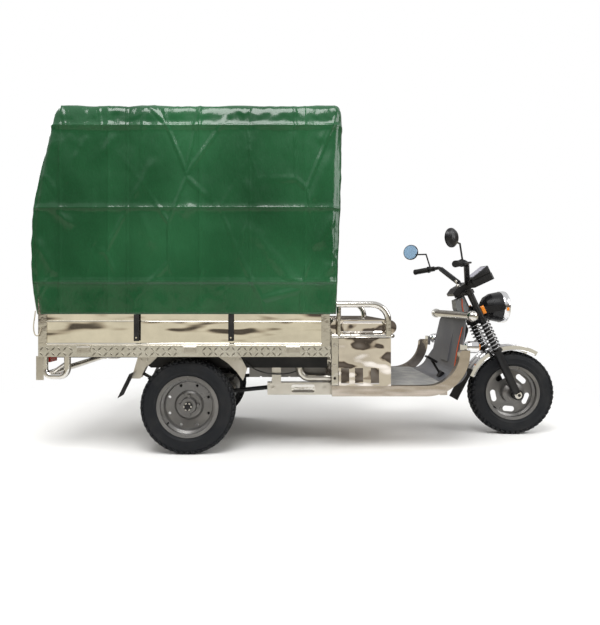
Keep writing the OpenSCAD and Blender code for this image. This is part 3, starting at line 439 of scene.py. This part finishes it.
across = fold_profile(tree, apart["X"], -1.52, 0.16, crease_x, (0.40, 0.60, 0.44, 0.62, 0.38, 0.58), 0.08)
upright = fold_profile(tree, apart["Z"], 0.74, 1.87, sorted(crease_z), (0.58, 0.42, 0.56), 0.07)
both = add_node(tree, "Math", {0: across, 1: upright}, operation="ADD").outputs["Value"]
fade = add_node(tree, "TexNoise", {"Vector": place, "Scale": 2.2, "Detail": 5.0}).outputs["Fac"]
greens = ramp_node(tree, fade, ((0.32, (0.0075, 0.055, 0.019)), (0.70, (0.0165, 0.095, 0.036))))

# The folded squares are painted lighter and darker by turns, as painted shade on tilted panels, with a
# painted highlight along each crease; dust lies on the roof and dulls it.
fold_shading = add_node(tree, "MapRange", {"Value": both, "From Max": 2.0, "To Min": 0.15, "To Max": 1.75})
fold_shaded_greens = add_node(tree, "VectorMath", {0: greens, "Scale": fold_shading.outputs["Result"]}, operation="SCALE")
worn = add_node(tree, "MapRange", {"Value": fade, "To Min": 0.10, "To Max": 0.26})
upward = add_node(tree, "SeparateXYZ", {"Vector": coords["Normal"]}).outputs["Z"]
roof_dust = add_node(tree, "MapRange", {"Value": upward, "From Min": 0.6, "From Max": 0.95, "To Max": 0.34})
dulled = add_node(tree, "Math", {0: worn.outputs["Result"], 1: roof_dust.outputs["Result"]}, operation="ADD")

# Its relief: the creases, sharp folds in patches, slanting lumps and the weave.
slant = add_node(tree, "Mapping", {"Vector": place, "Rotation": (0, radians(24), 0),
                                   "Scale": (1.0, 1.0, 0.45)}).outputs["Vector"]
folds = add_node(tree, "TexVoronoi", {"Vector": slant, "Scale": 4.5}, feature="DISTANCE_TO_EDGE")
sharp = add_node(tree, "MapRange", {"Value": folds.outputs["Distance"], "From Max": 0.06, "To Min": 1.0,
                                    "To Max": 0.0}, interpolation_type="SMOOTHSTEP")
patchy = add_node(tree, "MapRange", {"Value": fade, "From Min": 0.40, "From Max": 0.60})
here = add_node(tree, "Math", {0: sharp.outputs["Result"], 1: patchy.outputs["Result"]}, operation="MULTIPLY")
lumps = add_node(tree, "TexNoise", {"Vector": slant, "Scale": 12.0, "Detail": 4.0})
weave = add_node(tree, "TexNoise", {"Vector": place, "Scale": 900.0})
surface = raised(tree, both, 1.0, 0.030)
surface = raised(tree, here.outputs["Value"], 0.7, 0.006, surface)
surface = raised(tree, lumps.outputs["Fac"], 0.7, 0.010, surface)
surface = raised(tree, weave.outputs["Fac"], 0.10, 0.0005, surface)
feed(tree, shader, {"Base Color": fold_shaded_greens.outputs["Vector"], "Specular IOR Level": 0.42,
                    "Roughness": dulled.outputs["Value"], "Normal": surface})

cover = finish_piece("tarpaulin_sheet", bm, cloth_green, "chassis")
thick = cover.modifiers.new("cloth_thickness", "SOLIDIFY")
thick.thickness = 0.0015
thick.offset = 0
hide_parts("tarpaulin")

# Rubber goods: the tie straps, mudflaps and grips are black rubber gone grey with
# dust, and the footboard carries a grey ribbed mat.
black_rubber = coated("black_rubber", (0.012, 0.012, 0.012), (0.040, 0.037, 0.034), 0.6, bump=0.2, gloss=0.25)
dress(black_rubber, "tie_straps", "rear_mudflaps", "front_mudflap", "grips")
grey_mat = coated("grey_mat", (0.25, 0.25, 0.245), (0.46, 0.44, 0.41), 0.50, grain=70.0, bump=0.3)
dress(grey_mat, "floor_mat")

# Mouldings: a dark blue-grey leg shield, a grey column cover, and the black covers
# of the handlebar, instrument, headlamp and mirrors.
dress(coated("shield_moulding", (0.110, 0.112, 0.124), (0.170, 0.168, 0.168), 0.36), "leg_shield")
dress(coated("column_moulding", (0.150, 0.158, 0.162), (0.22, 0.22, 0.22), 0.34), "column_cover")
black_moulding = coated("black_moulding", (0.009, 0.009, 0.010), (0.018, 0.018, 0.018), 0.26, grain=10.0,
                        bump=0.01, gloss=0.32)
dress(black_moulding, "handlebar_cover", "instrument", "headlamp", "mirrors")

# Bright trim: chromed fender and bullet lamps, plated spring wire, and the seat's
# bench and panels in polished sheet like that of the boards.
chrome = bright_sheet("chrome", (0.80, 0.80, 0.81), 0.05, 0.0003, 40.0)
dress(chrome, "front_fender", "side_lamps")
seat_sheet = bright_sheet("seat_sheet", (0.80, 0.75, 0.70), 0.045, 0.030, 5.0, (0.7, 1.0, 1.0))
dress(seat_sheet, "seat_panels", "seat_bench")
dress(bright_sheet("spring_wire", (0.42, 0.42, 0.43), 0.20, 0.0002, 60.0), "fork_springs")


# Lamp glasses: red moulded covers on the tail lamps, and a clear pressed glass with
# upright flutes in the headlamp's rim.
def lens(name, colour, through, rough):
    """A fluted lamp glass, of which some light goes through."""
    made, tree, shader = new_finish(name)
    place = add_node(tree, "TexCoord").outputs["Object"]
    tint = add_node(tree, "TexNoise", {"Vector": place, "Scale": 30.0})
    shades = ramp_node(tree, tint.outputs["Fac"], ((0, [0.85 * c for c in colour]), (1, colour)))
    flutes = add_node(tree, "TexWave", {"Vector": place, "Scale": 30.0}, bands_direction="Y")
    feed(tree, shader, {"Base Color": shades, "Transmission Weight": through, "Roughness": rough, "IOR": 1.49,
                        "Normal": raised(tree, flutes.outputs["Fac"], 0.35, 0.002)})
    return made


dress(lens("red_lens", (0.55, 0.02, 0.015), 0.3, 0.15), "tail_lamps")
dress(lens("clear_lens", (0.95, 0.97, 0.98), 0.85, 0.04), "headlamp_lens")


# The wheels: pressed steel discs in dark grey paint, under black tyres whose road
# tread is blocks cut by cross grooves, with a rib round each side wall.
def facing(at, way):
    """A place whose Z axis points along a direction."""
    return Matrix.Translation(at) @ Vector(way).to_track_quat("Z", "Y").to_matrix().to_4x4()


def turned(bm, at, way, section, steps=56):
    """A closed ring, from its section: radius and distance along the axis."""
    ring = [bm.verts.new(facing(at, way) @ Vector((r, 0, along))) for r, along in section]
    edges = [bm.edges.new(pair) for pair in zip(ring, ring[1:] + ring[:1])]
    bmesh.ops.spin(bm, geom=ring + edges, cent=at, axis=Vector(way).normalized(), angle=2 * pi, steps=steps,
                   use_merge=True)


wheel_paint = coated("wheel_paint", (0.138, 0.134, 0.129), (0.23, 0.22, 0.205), 0.28, metal=0.6)
dress(wheel_paint, "front_rim", "rear_rim_right", "rear_rim_left")
tyre_rubber = coated("tyre_rubber", (0.007, 0.008, 0.010), (0.020, 0.020, 0.020), 0.52, grain=50.0, bump=0.3,
                     gloss=0.22)
# Half of the tyre's section, as radius and distance from the middle plane, and each
# row of lugs: its distance from there, turn in half pitches, size, lean and height.
tyre_wall = (
    (0.1523, 0.0400), (0.1680, 0.0402), (0.1735, 0.0440), (0.1800, 0.0462), (0.1822, 0.0474),
    (0.1850, 0.0465), (0.1960, 0.0482), (0.2080, 0.0484), (0.2110, 0.0484), (0.2135, 0.0476),
    (0.2240, 0.0462), (0.2340, 0.0430), (0.2415, 0.0372), (0.2455, 0.0285), (0.2474, 0.0170), (0.2480, 0.0))
lug_rows = (
    (0.0, 0.0, (0.020, 0.017), 0.0, 0.2510), (0.0215, 1.0, (0.022, 0.018), 0.13, 0.2504),
    (-0.0215, 1.0, (0.022, 0.018), 0.13, 0.2504), (0.0390, 0.0, (0.024, 0.0145), 0.95, 0.2440),
    (-0.0390, 0.0, (0.024, 0.0145), 0.95, 0.2440))
lug_count, lug_h, lug_foot, lug_crown = 48, 0.0075, 0.74, 0.62
lug_low_r = 0.2475
wall_face = 0.00004                           # faces larger than this belong to the carcass
for tyre, body in (("front_tyre", "front_wheel"), ("rear_tyre_right", "rear_wheel_right"),
                   ("rear_tyre_left", "rear_wheel_left")):
    low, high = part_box(tyre)
    hub = (low + high) / 2
    bm = bmesh.new()
    turned(bm, hub, (0, 1, 0), [*tyre_wall, *((r, -y) for r, y in reversed(tyre_wall[:-1]))], 96)
    bmesh.ops.recalc_face_normals(bm, faces=bm.faces[:])
    for y, half_turn, size, lean, crown in lug_rows:
        side = (y > 0) - (y < 0)
        skew = 0.25 * side if side else 0.35
        for k in range(lug_count):
            turn = 2 * pi * (k + half_turn / 2) / lug_count
            seat = (Matrix.Translation(hub) @ Matrix.Rotation(turn, 4, "Y")
                    @ Matrix.Translation((0, y, crown)) @ Matrix.Rotation(-side * lean, 4, "X"))
            cone(bm, seat @ Matrix.Rotation(skew, 4, "Z") @ Matrix.Diagonal((*size, lug_h, 1))
                 @ Matrix.Rotation(pi / 4, 4, "Z"), lug_foot, lug_crown, 1.0, 4)
    tread = finish_piece(tyre + "_tread", bm, tyre_rubber, body, smooth=False)
    tread.data.polygons.foreach_set("use_smooth", [
        p.area > wall_face and hypot(p.center.x - hub.x, p.center.z - hub.z) < lug_low_r
        for p in tread.data.polygons])
    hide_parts(tyre)


# The sheet's tie: at the rear corner a loop of pale cord goes from the hem down to
# the corner post.
def cord_piece(name, points, diameter, finish, body):
    """A round cord through some points, and its length."""
    line = bpy.data.curves.new(name, "CURVE")
    line.dimensions = "3D"
    line.bevel_depth = diameter / 2
    line.bevel_resolution = 3
    line.use_fill_caps = True
    route = line.splines.new("POLY")
    route.points.add(len(points) - 1)
    for held, p in zip(route.points, points):
        held.co = (*p, 1)
    line.materials.append(finish)
    piece = bpy.data.objects.new(name, line)
    scene.collection.objects.link(piece)
    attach(piece, body)
    return piece, sum((Vector(b) - Vector(a)).length for a, b in zip(points, points[1:]))


def smooth_route(stops, steps=5):
    """Points on a curve that passes through the stops."""
    stops = [Vector(s) for s in stops]
    ends = [2 * stops[0] - stops[1], *stops, 2 * stops[-1] - stops[-2]]
    route = []
    for a, b, c, d in zip(ends, ends[1:], ends[2:], ends[3:]):
        for k in range(steps):
            t = k / steps
            route.append(0.5 * (2 * b + (c - a) * t + (2 * a - 5 * b + 4 * c - d) * t ** 2
                                + (3 * b - a - 3 * c + d) * t ** 3))
    return [tuple(p) for p in [*route, stops[-1]]]


pale_cord = coated("pale_cord", (0.42, 0.37, 0.28), (0.30, 0.26, 0.20), 0.7, grain=200.0, bump=0.4)
tie_d = 0.006
tie_route = smooth_route([(-1.462, -0.5165, 0.768), (-1.464, -0.5195, 0.740), (-1.470, -0.5195, 0.690),
                          (-1.468, -0.514, 0.650), (-1.456, -0.508, 0.637), (-1.445, -0.505, 0.652),
                          (-1.441, -0.5035, 0.680)])
corner_tie, tie_length = cord_piece("corner_tie", tie_route, tie_d, pale_cord, "chassis")


# Bolts: plated hexagon heads on washers hold the hinge leaves, the spring hangers, the
# seat's rear plates and the plates on the lower rails.
def hex_bolt(bm, at, way, radius):
    """A bolt's head and its washer, on a surface that looks along a direction."""
    turn = facing(at, way)
    cone(bm, turn @ Matrix.Translation((0, 0, radius * 0.15)), radius * 1.5, radius * 1.45, radius * 0.3, 20)
    cone(bm, turn @ Matrix.Translation((0, 0, radius * 0.7)), radius, radius * 0.92, radius * 0.8, 6)


leaf_bolt, plate_bolt, rail_bolt = 0.0055, 0.007, 0.010
leaf_step = 0.022
bm = bmesh.new()
for side in (-1, 1):
    for x in hinge_x:
        for step in (-leaf_step, leaf_step):
            hex_bolt(bm, (x + step, side * 0.504, 0.560), (0, side, 0), leaf_bolt)
    for x in (-0.955, -0.925, -0.438, -0.408):
        hex_bolt(bm, (x, side * 0.356, 0.492), (0, side, 0), plate_bolt)
    for z in (0.470, 0.580):
        hex_bolt(bm, (0.110, side * 0.409, z), (0, side, 0), plate_bolt)
    for x in (-0.225, 0.060):
        hex_bolt(bm, (x, side * 0.350, 0.334), (0, side, 0), rail_bolt)
    for y in (-tail_hinge_y, tail_hinge_y):
        hex_bolt(bm, (-1.460, y + side * leaf_step, 0.556), (-1, 0, 0), leaf_bolt)
finish_piece("frame_bolts", bm, dull_plate, "chassis", smooth=False)


# The lower rails' plates: a bright plate with round corners and a dished middle lies
# on the outer face of each rail, between its two bolts.
def dish(bm, beyond, margin, depth):
    """Sinks the middle of each side face that lies beyond a distance from the middle plane."""
    faces = [f for f in bm.faces if abs(f.normal.y) > 0.9 and abs(f.calc_center_median().y) > beyond]
    bmesh.ops.inset_individual(bm, faces=faces, thickness=margin, depth=0)
    for f in faces:
        bmesh.ops.translate(bm, vec=-depth * f.normal, verts=f.verts)


def rounded(bm, edges, radius, segments):
    """Rounds off some edges."""
    bmesh.ops.bevel(bm, geom=edges, offset=radius, offset_type="OFFSET", affect="EDGES", segments=segments,
                    profile=0.5, material=-1)


bm = bmesh.new()
for side in (-1, 1):
    made = bmesh.ops.create_cube(bm, size=1.0, matrix=Matrix.Translation((-0.060, side * 0.3525, 0.336))
                                 @ Matrix.Diagonal((0.130, 0.005, 0.044, 1)))["verts"]
    corners = [e for e in {e for v in made for e in v.link_edges}
               if abs((e.verts[0].co - e.verts[1].co).y) > 0.004]
    rounded(bm, corners, 0.012, 4)
dish(bm, 0.354, 0.015, 0.003)
finish_piece("slotted_plates", bm, tube_polish, "chassis", smooth=False)

# The loom under the bed hangs in one shallow loop from the main rail to the drop
# tube. An orange wire is taped down the back of the leg shield, and another lies on
# the column cover's side.
loom_black = coated("loom_black", (0.012, 0.012, 0.012), (0.04, 0.038, 0.035), 0.5)
loom_d = 0.007
loom_route = smooth_route([(-0.380, -0.3540, 0.486), (-0.366, -0.361, 0.472), (-0.320, -0.364, 0.441),
                           (-0.255, -0.364, 0.421), (-0.190, -0.364, 0.416), (-0.135, -0.360, 0.421),
                           (-0.098, -0.347, 0.430)])
bed_loom, loom_length = cord_piece("bed_loom", loom_route, loom_d, loom_black, "chassis")
wire_orange = coated("wire_orange", (0.62, 0.085, 0.018), (0.42, 0.09, 0.04), 0.4)
wire_d = 0.006
shield_route = smooth_route([(0.8665, -0.224, 0.668), (0.8590, -0.219, 0.628), (0.8500, -0.208, 0.575),
                             (0.8410, -0.202, 0.520), (0.8320, -0.204, 0.465), (0.8240, -0.207, 0.428),
                             (0.8135, -0.211, 0.402), (0.7940, -0.216, 0.3815), (0.7700, -0.222, 0.3685)], 4)
shield_wire, shield_length = cord_piece("shield_wire", shield_route, wire_d, wire_orange, "chassis")
rake = Matrix.Rotation(radians(-25), 4, "Y")
head = Matrix.Translation((0.940, 0, 0.8245)) @ rake
column_route = smooth_route([head @ Vector(p) for p in (
    (-0.008, -0.0412, 0.012), (-0.014, -0.0416, -0.006), (-0.024, -0.0418, -0.026),
    (-0.029, -0.0418, -0.048), (-0.037, -0.0414, -0.070), (-0.042, -0.0408, -0.080))], 4)
column_wire, column_length = cord_piece("column_wire", column_route, wire_d, wire_orange, "chassis")

# The mirrors: a round of pale tinted glass lies in each moulded shell, in the face
# that looks at the driver, inside the shell's thin rim.
mirror_glass = coated("mirror_glass", (0.34, 0.51, 0.72), (0.37, 0.54, 0.74), 0.12, grain=5.0, metal=0.2,
                      bump=0.0)
mirror_turn = radians(55)
bm = bmesh.new()
for side in (-1, 1):
    face = Vector((-cos(mirror_turn), -side * sin(mirror_turn), 0))
    at = Vector((0.735, side * 0.430, 1.160)) + 0.0086 * face
    cone(bm, facing(at, face), 0.0475, 0.0465, 0.0012, 48)
finish_piece("mirror_glass", bm, mirror_glass, "steering", smooth=False)

# The headlamp: a chromed rim rolled over the bowl's edge, with the reflector dish and
# its bulb behind the glass.
lamp_at = Vector((1.056, 0, 0.781))
bm = bmesh.new()
turned(bm, lamp_at, (1, 0, 0), ((0.0931, 0.1125), (0.0957, 0.1140), (0.0963, 0.1260), (0.0960, 0.1420),
                                (0.0945, 0.1480), (0.0915, 0.1503), (0.0885, 0.1498), (0.0872, 0.1482),
                                (0.0872, 0.1463), (0.0931, 0.1463)))
turned(bm, lamp_at, (1, 0, 0), ((0.0140, 0.1212), (0.0480, 0.1236), (0.0845, 0.1300), (0.0845, 0.1312),
                                (0.0480, 0.1248), (0.0140, 0.1224)))
bmesh.ops.create_uvsphere(bm, u_segments=16, v_segments=10, radius=0.011,
                          matrix=Matrix.Translation(lamp_at + Vector((0.134, 0, 0))))
bmesh.ops.recalc_face_normals(bm, faces=bm.faces[:])
finish_piece("headlamp_trim", bm, chrome, "steering")


# Orange reflectors: one on each ear of the headlamp, in line with the fork, one small
# marker on each side of the lamp's rim, and the fronts of the bullet lamps.
def soft_box(bm, place, size, round_r, segments=2):
    """A box with rounded edges."""
    made = bmesh.ops.create_cube(bm, size=1.0, matrix=place @ Matrix.Diagonal((*size, 1)))["verts"]
    rounded(bm, list({e for v in made for e in v.link_edges}), round_r, segments)


amber = lens("amber_lens", (0.85, 0.26, 0.02), 0.15, 0.18)
bm = bmesh.new()
for side in (-1, 1):
    soft_box(bm, Matrix.Translation((1.036, side * 0.1019, 0.766)) @ rake, (0.022, 0.0072, 0.050), 0.0025)
    soft_box(bm, Matrix.Translation((1.188, side * 0.0955, 0.770)), (0.014, 0.005, 0.020), 0.0015)
finish_piece("fork_reflectors", bm, amber, "steering")
bm = bmesh.new()
for side in (-1, 1):
    cone(bm, Matrix.Translation((0.9182, side * 0.330, 0.562)) @ Matrix.Rotation(pi / 2, 4, "Y"),
         0.0265, 0.0190, 0.008, 32)
finish_piece("bullet_lamp_lenses", bm, amber, "chassis", smooth=False)

# The instrument: a hood that slopes towards the driver, with a pale glass in it, and
# the ignition lock with its key on the cover behind it.
hood_at = Vector((0.154, 0, 0.0960))
lock_x = 0.018
bm = bmesh.new()
soft_box(bm, head @ Matrix.Translation(hood_at), (0.126, 0.118, 0.0245), 0.004)
for v in bm.verts:
    local = head.inverted() @ v.co
    if local.z > hood_at.z:
        local.z += 0.010 + 0.24 * (local.x - hood_at.x)
        v.co = head @ local
bmesh.ops.recalc_face_normals(bm, faces=bm.faces[:])
finish_piece("instrument_hood", bm, black_moulding, "steering")
screen_glass = coated("screen_glass", (0.40, 0.39, 0.47), (0.50, 0.49, 0.56), 0.12, metal=0.1, bump=0.0)
slope = head @ Matrix.Translation((hood_at.x, 0, 0.1186)) @ Matrix.Rotation(-0.2355, 4, "Y")
bm = bmesh.new()
soft_box(bm, slope, (0.104, 0.098, 0.0020), 0.0006)
finish_piece("instrument_screen", bm, screen_glass, "steering", smooth=False)
bm = bmesh.new()
turned(bm, head @ Vector((lock_x, 0, 0.0870)), head.to_3x3() @ Vector((0, 0, 1)),
       ((0.004, 0), (0.0135, 0), (0.0135, 0.008), (0.0115, 0.0105), (0.004, 0.0105)), 32)
soft_box(bm, head @ Matrix.Translation((lock_x, 0, 0.104)), (0.0024, 0.008, 0.016), 0.0006)
soft_box(bm, head @ Matrix.Translation((lock_x, 0, 0.1200)), (0.0060, 0.022, 0.020), 0.0025)
bmesh.ops.recalc_face_normals(bm, faces=bm.faces[:])
finish_piece("ignition_lock", bm, tube_polish, "steering", smooth=False)


# The grips: moulded rubber pushed on the ends of the handlebar, with a rib every nine
# millimetres for the fingers.
def hoop(bm, at, way, radius, wire, around, sides):
    """A ring of round wire."""
    start = facing(at, way) @ Matrix.Translation((radius, 0, 0)) @ Matrix.Rotation(pi / 2, 4, "X")
    made = bmesh.ops.create_circle(bm, segments=sides, radius=wire, matrix=start)["verts"]
    rim = list({e for v in made for e in v.link_edges})
    bmesh.ops.spin(bm, geom=made + rim, cent=at, axis=Vector(way).normalized(), angle=2 * pi,
                   steps=around, use_merge=True)


rib_pitch, rib_count = 0.009, 11
bm = bmesh.new()
for side in (-1, 1):
    bend, way = Vector((0.880, side * 0.250, 1.040)), Vector((-0.581, side * 0.808, -0.101)).normalized()
    for k in range(rib_count):
        hoop(bm, bend + way * (0.098 + rib_pitch * k), way, 0.0171, 0.0013, 24, 6)
bmesh.ops.recalc_face_normals(bm, faces=bm.faces[:])
finish_piece("grip_ribs", bm, black_rubber, "steering")

# The front fender: chromed sheet, stiffened by two beads pressed along its crown and
# by a wired edge on each side.
front_x, rear_x, hub_z = 1.240, -0.680, 0.255


def arc_bead(bm, radius, wire, y, start, end):
    """A round bead along an arc about the front axle, between two angles in degrees."""
    hub = Vector((front_x, y, hub_z))
    made = bmesh.ops.create_circle(bm, segments=8, radius=wire, matrix=Matrix.Translation(hub)
                                   @ Matrix.Rotation(-radians(start), 4, "Y")
                                   @ Matrix.Translation((radius, 0, 0)))["verts"]
    rim = list({e for v in made for e in v.link_edges})
    bmesh.ops.spin(bm, geom=made + rim, cent=hub, axis=(0, -1, 0), angle=radians(end - start), steps=44)


bm = bmesh.new()
for side in (-1, 1):
    arc_bead(bm, 0.2912, 0.0036, side * 0.028, 61, 157)
    arc_bead(bm, 0.2650, 0.0030, side * 0.0600, 60.5, 157.5)
bmesh.ops.holes_fill(bm, edges=[e for e in bm.edges if e.is_boundary])
bmesh.ops.recalc_face_normals(bm, faces=bm.faces[:])
finish_piece("fender_beads", bm, chrome, "steering")

# Wheel hardware: plain nuts and washers on the front spindle, castle nuts on the rear
# stubs, and a rubber valve in each rim.
bm = bmesh.new()
for side in (-1, 1):
    outward = Matrix.Rotation(-side * pi / 2, 4, "X")
    cone(bm, Matrix.Translation((front_x, side * 0.1166, hub_z)) @ outward, 0.022, 0.022, 0.003, 32)
    cone(bm, Matrix.Translation((front_x, side * 0.1236, hub_z)) @ outward, 0.0165, 0.0158, 0.011, 6)
finish_piece("front_axle_nuts", bm, tube_polish, "steering", smooth=False)
bm = bmesh.new()
for side in (-1, 1):
    for k in range(6):
        soft_box(bm, Matrix.Translation((rear_x, side * 0.458, hub_z)) @ Matrix.Rotation(k * pi / 3, 4, "Y")
                 @ Matrix.Translation((0.0186, 0, 0)), (0.0062, 0.0070, 0.0100), 0.0008, 1)
finish_piece("castle_nuts", bm, dull_plate, "chassis", smooth=False)
valve_r, valve_turn = 0.1395, Matrix.Rotation(radians(140), 4, "Y")
for name, body, at, side in (("front_valve", "front_wheel", (front_x, 0.0, hub_z), -1),
                             ("rear_valve_right", "rear_wheel_right", (rear_x, -0.420, hub_z), -1),
                             ("rear_valve_left", "rear_wheel_left", (rear_x, 0.420, hub_z), 1)):
    bm = bmesh.new()
    for radius, start, end in ((0.0055, 0.018, 0.030), (0.0036, 0.029, 0.046)):
        middle = Matrix.Translation((valve_r, side * (start + end) / 2, 0))
        cone(bm, Matrix.Translation(at) @ valve_turn @ middle @ Matrix.Rotation(-side * pi / 2, 4, "X"),
             radius, radius * 0.85, end - start, 16)
    finish_piece(name, bm, black_rubber, body, smooth=False)

# The bench's ends: a pressed panel with a dished middle closes each end of the bench,
# in the same polished sheet.
bm = bmesh.new()
for side in (-1, 1):
    soft_box(bm, Matrix.Translation((0.264, side * 0.3862, 0.675)), (0.224, 0.0052, 0.058), 0.0020)
dish(bm, 0.387, 0.009, 0.0030)
finish_piece("bench_ends", bm, seat_sheet, "chassis", smooth=False)

# The bumper hoops: bent steel tube, with a flat plate welded over the rear leg of
# each hoop.
bm = bmesh.new()
for side in (-1, 1):
    soft_box(bm, Matrix.Translation((-1.4505, side * 0.4905, 0.4665)), (0.040, 0.0040, 0.127), 0.0008, 1)
finish_piece("hoop_plates", bm, dull_plate, "chassis", smooth=False)

# The foot brake: a steel pad on a lever, under a rubber with five cross ribs that
# keep the foot from slipping.
bm = bmesh.new()
pad = Matrix.Translation((0.722, -0.100, 0.469)) @ Matrix.Rotation(radians(30), 4, "Y")
for k in range(-2, 3):
    soft_box(bm, pad @ Matrix.Translation((0.012 * k, 0, 0.0070)), (0.0060, 0.054, 0.0024), 0.0008, 1)
finish_piece("pedal_ribs", bm, black_rubber, "chassis", smooth=False)
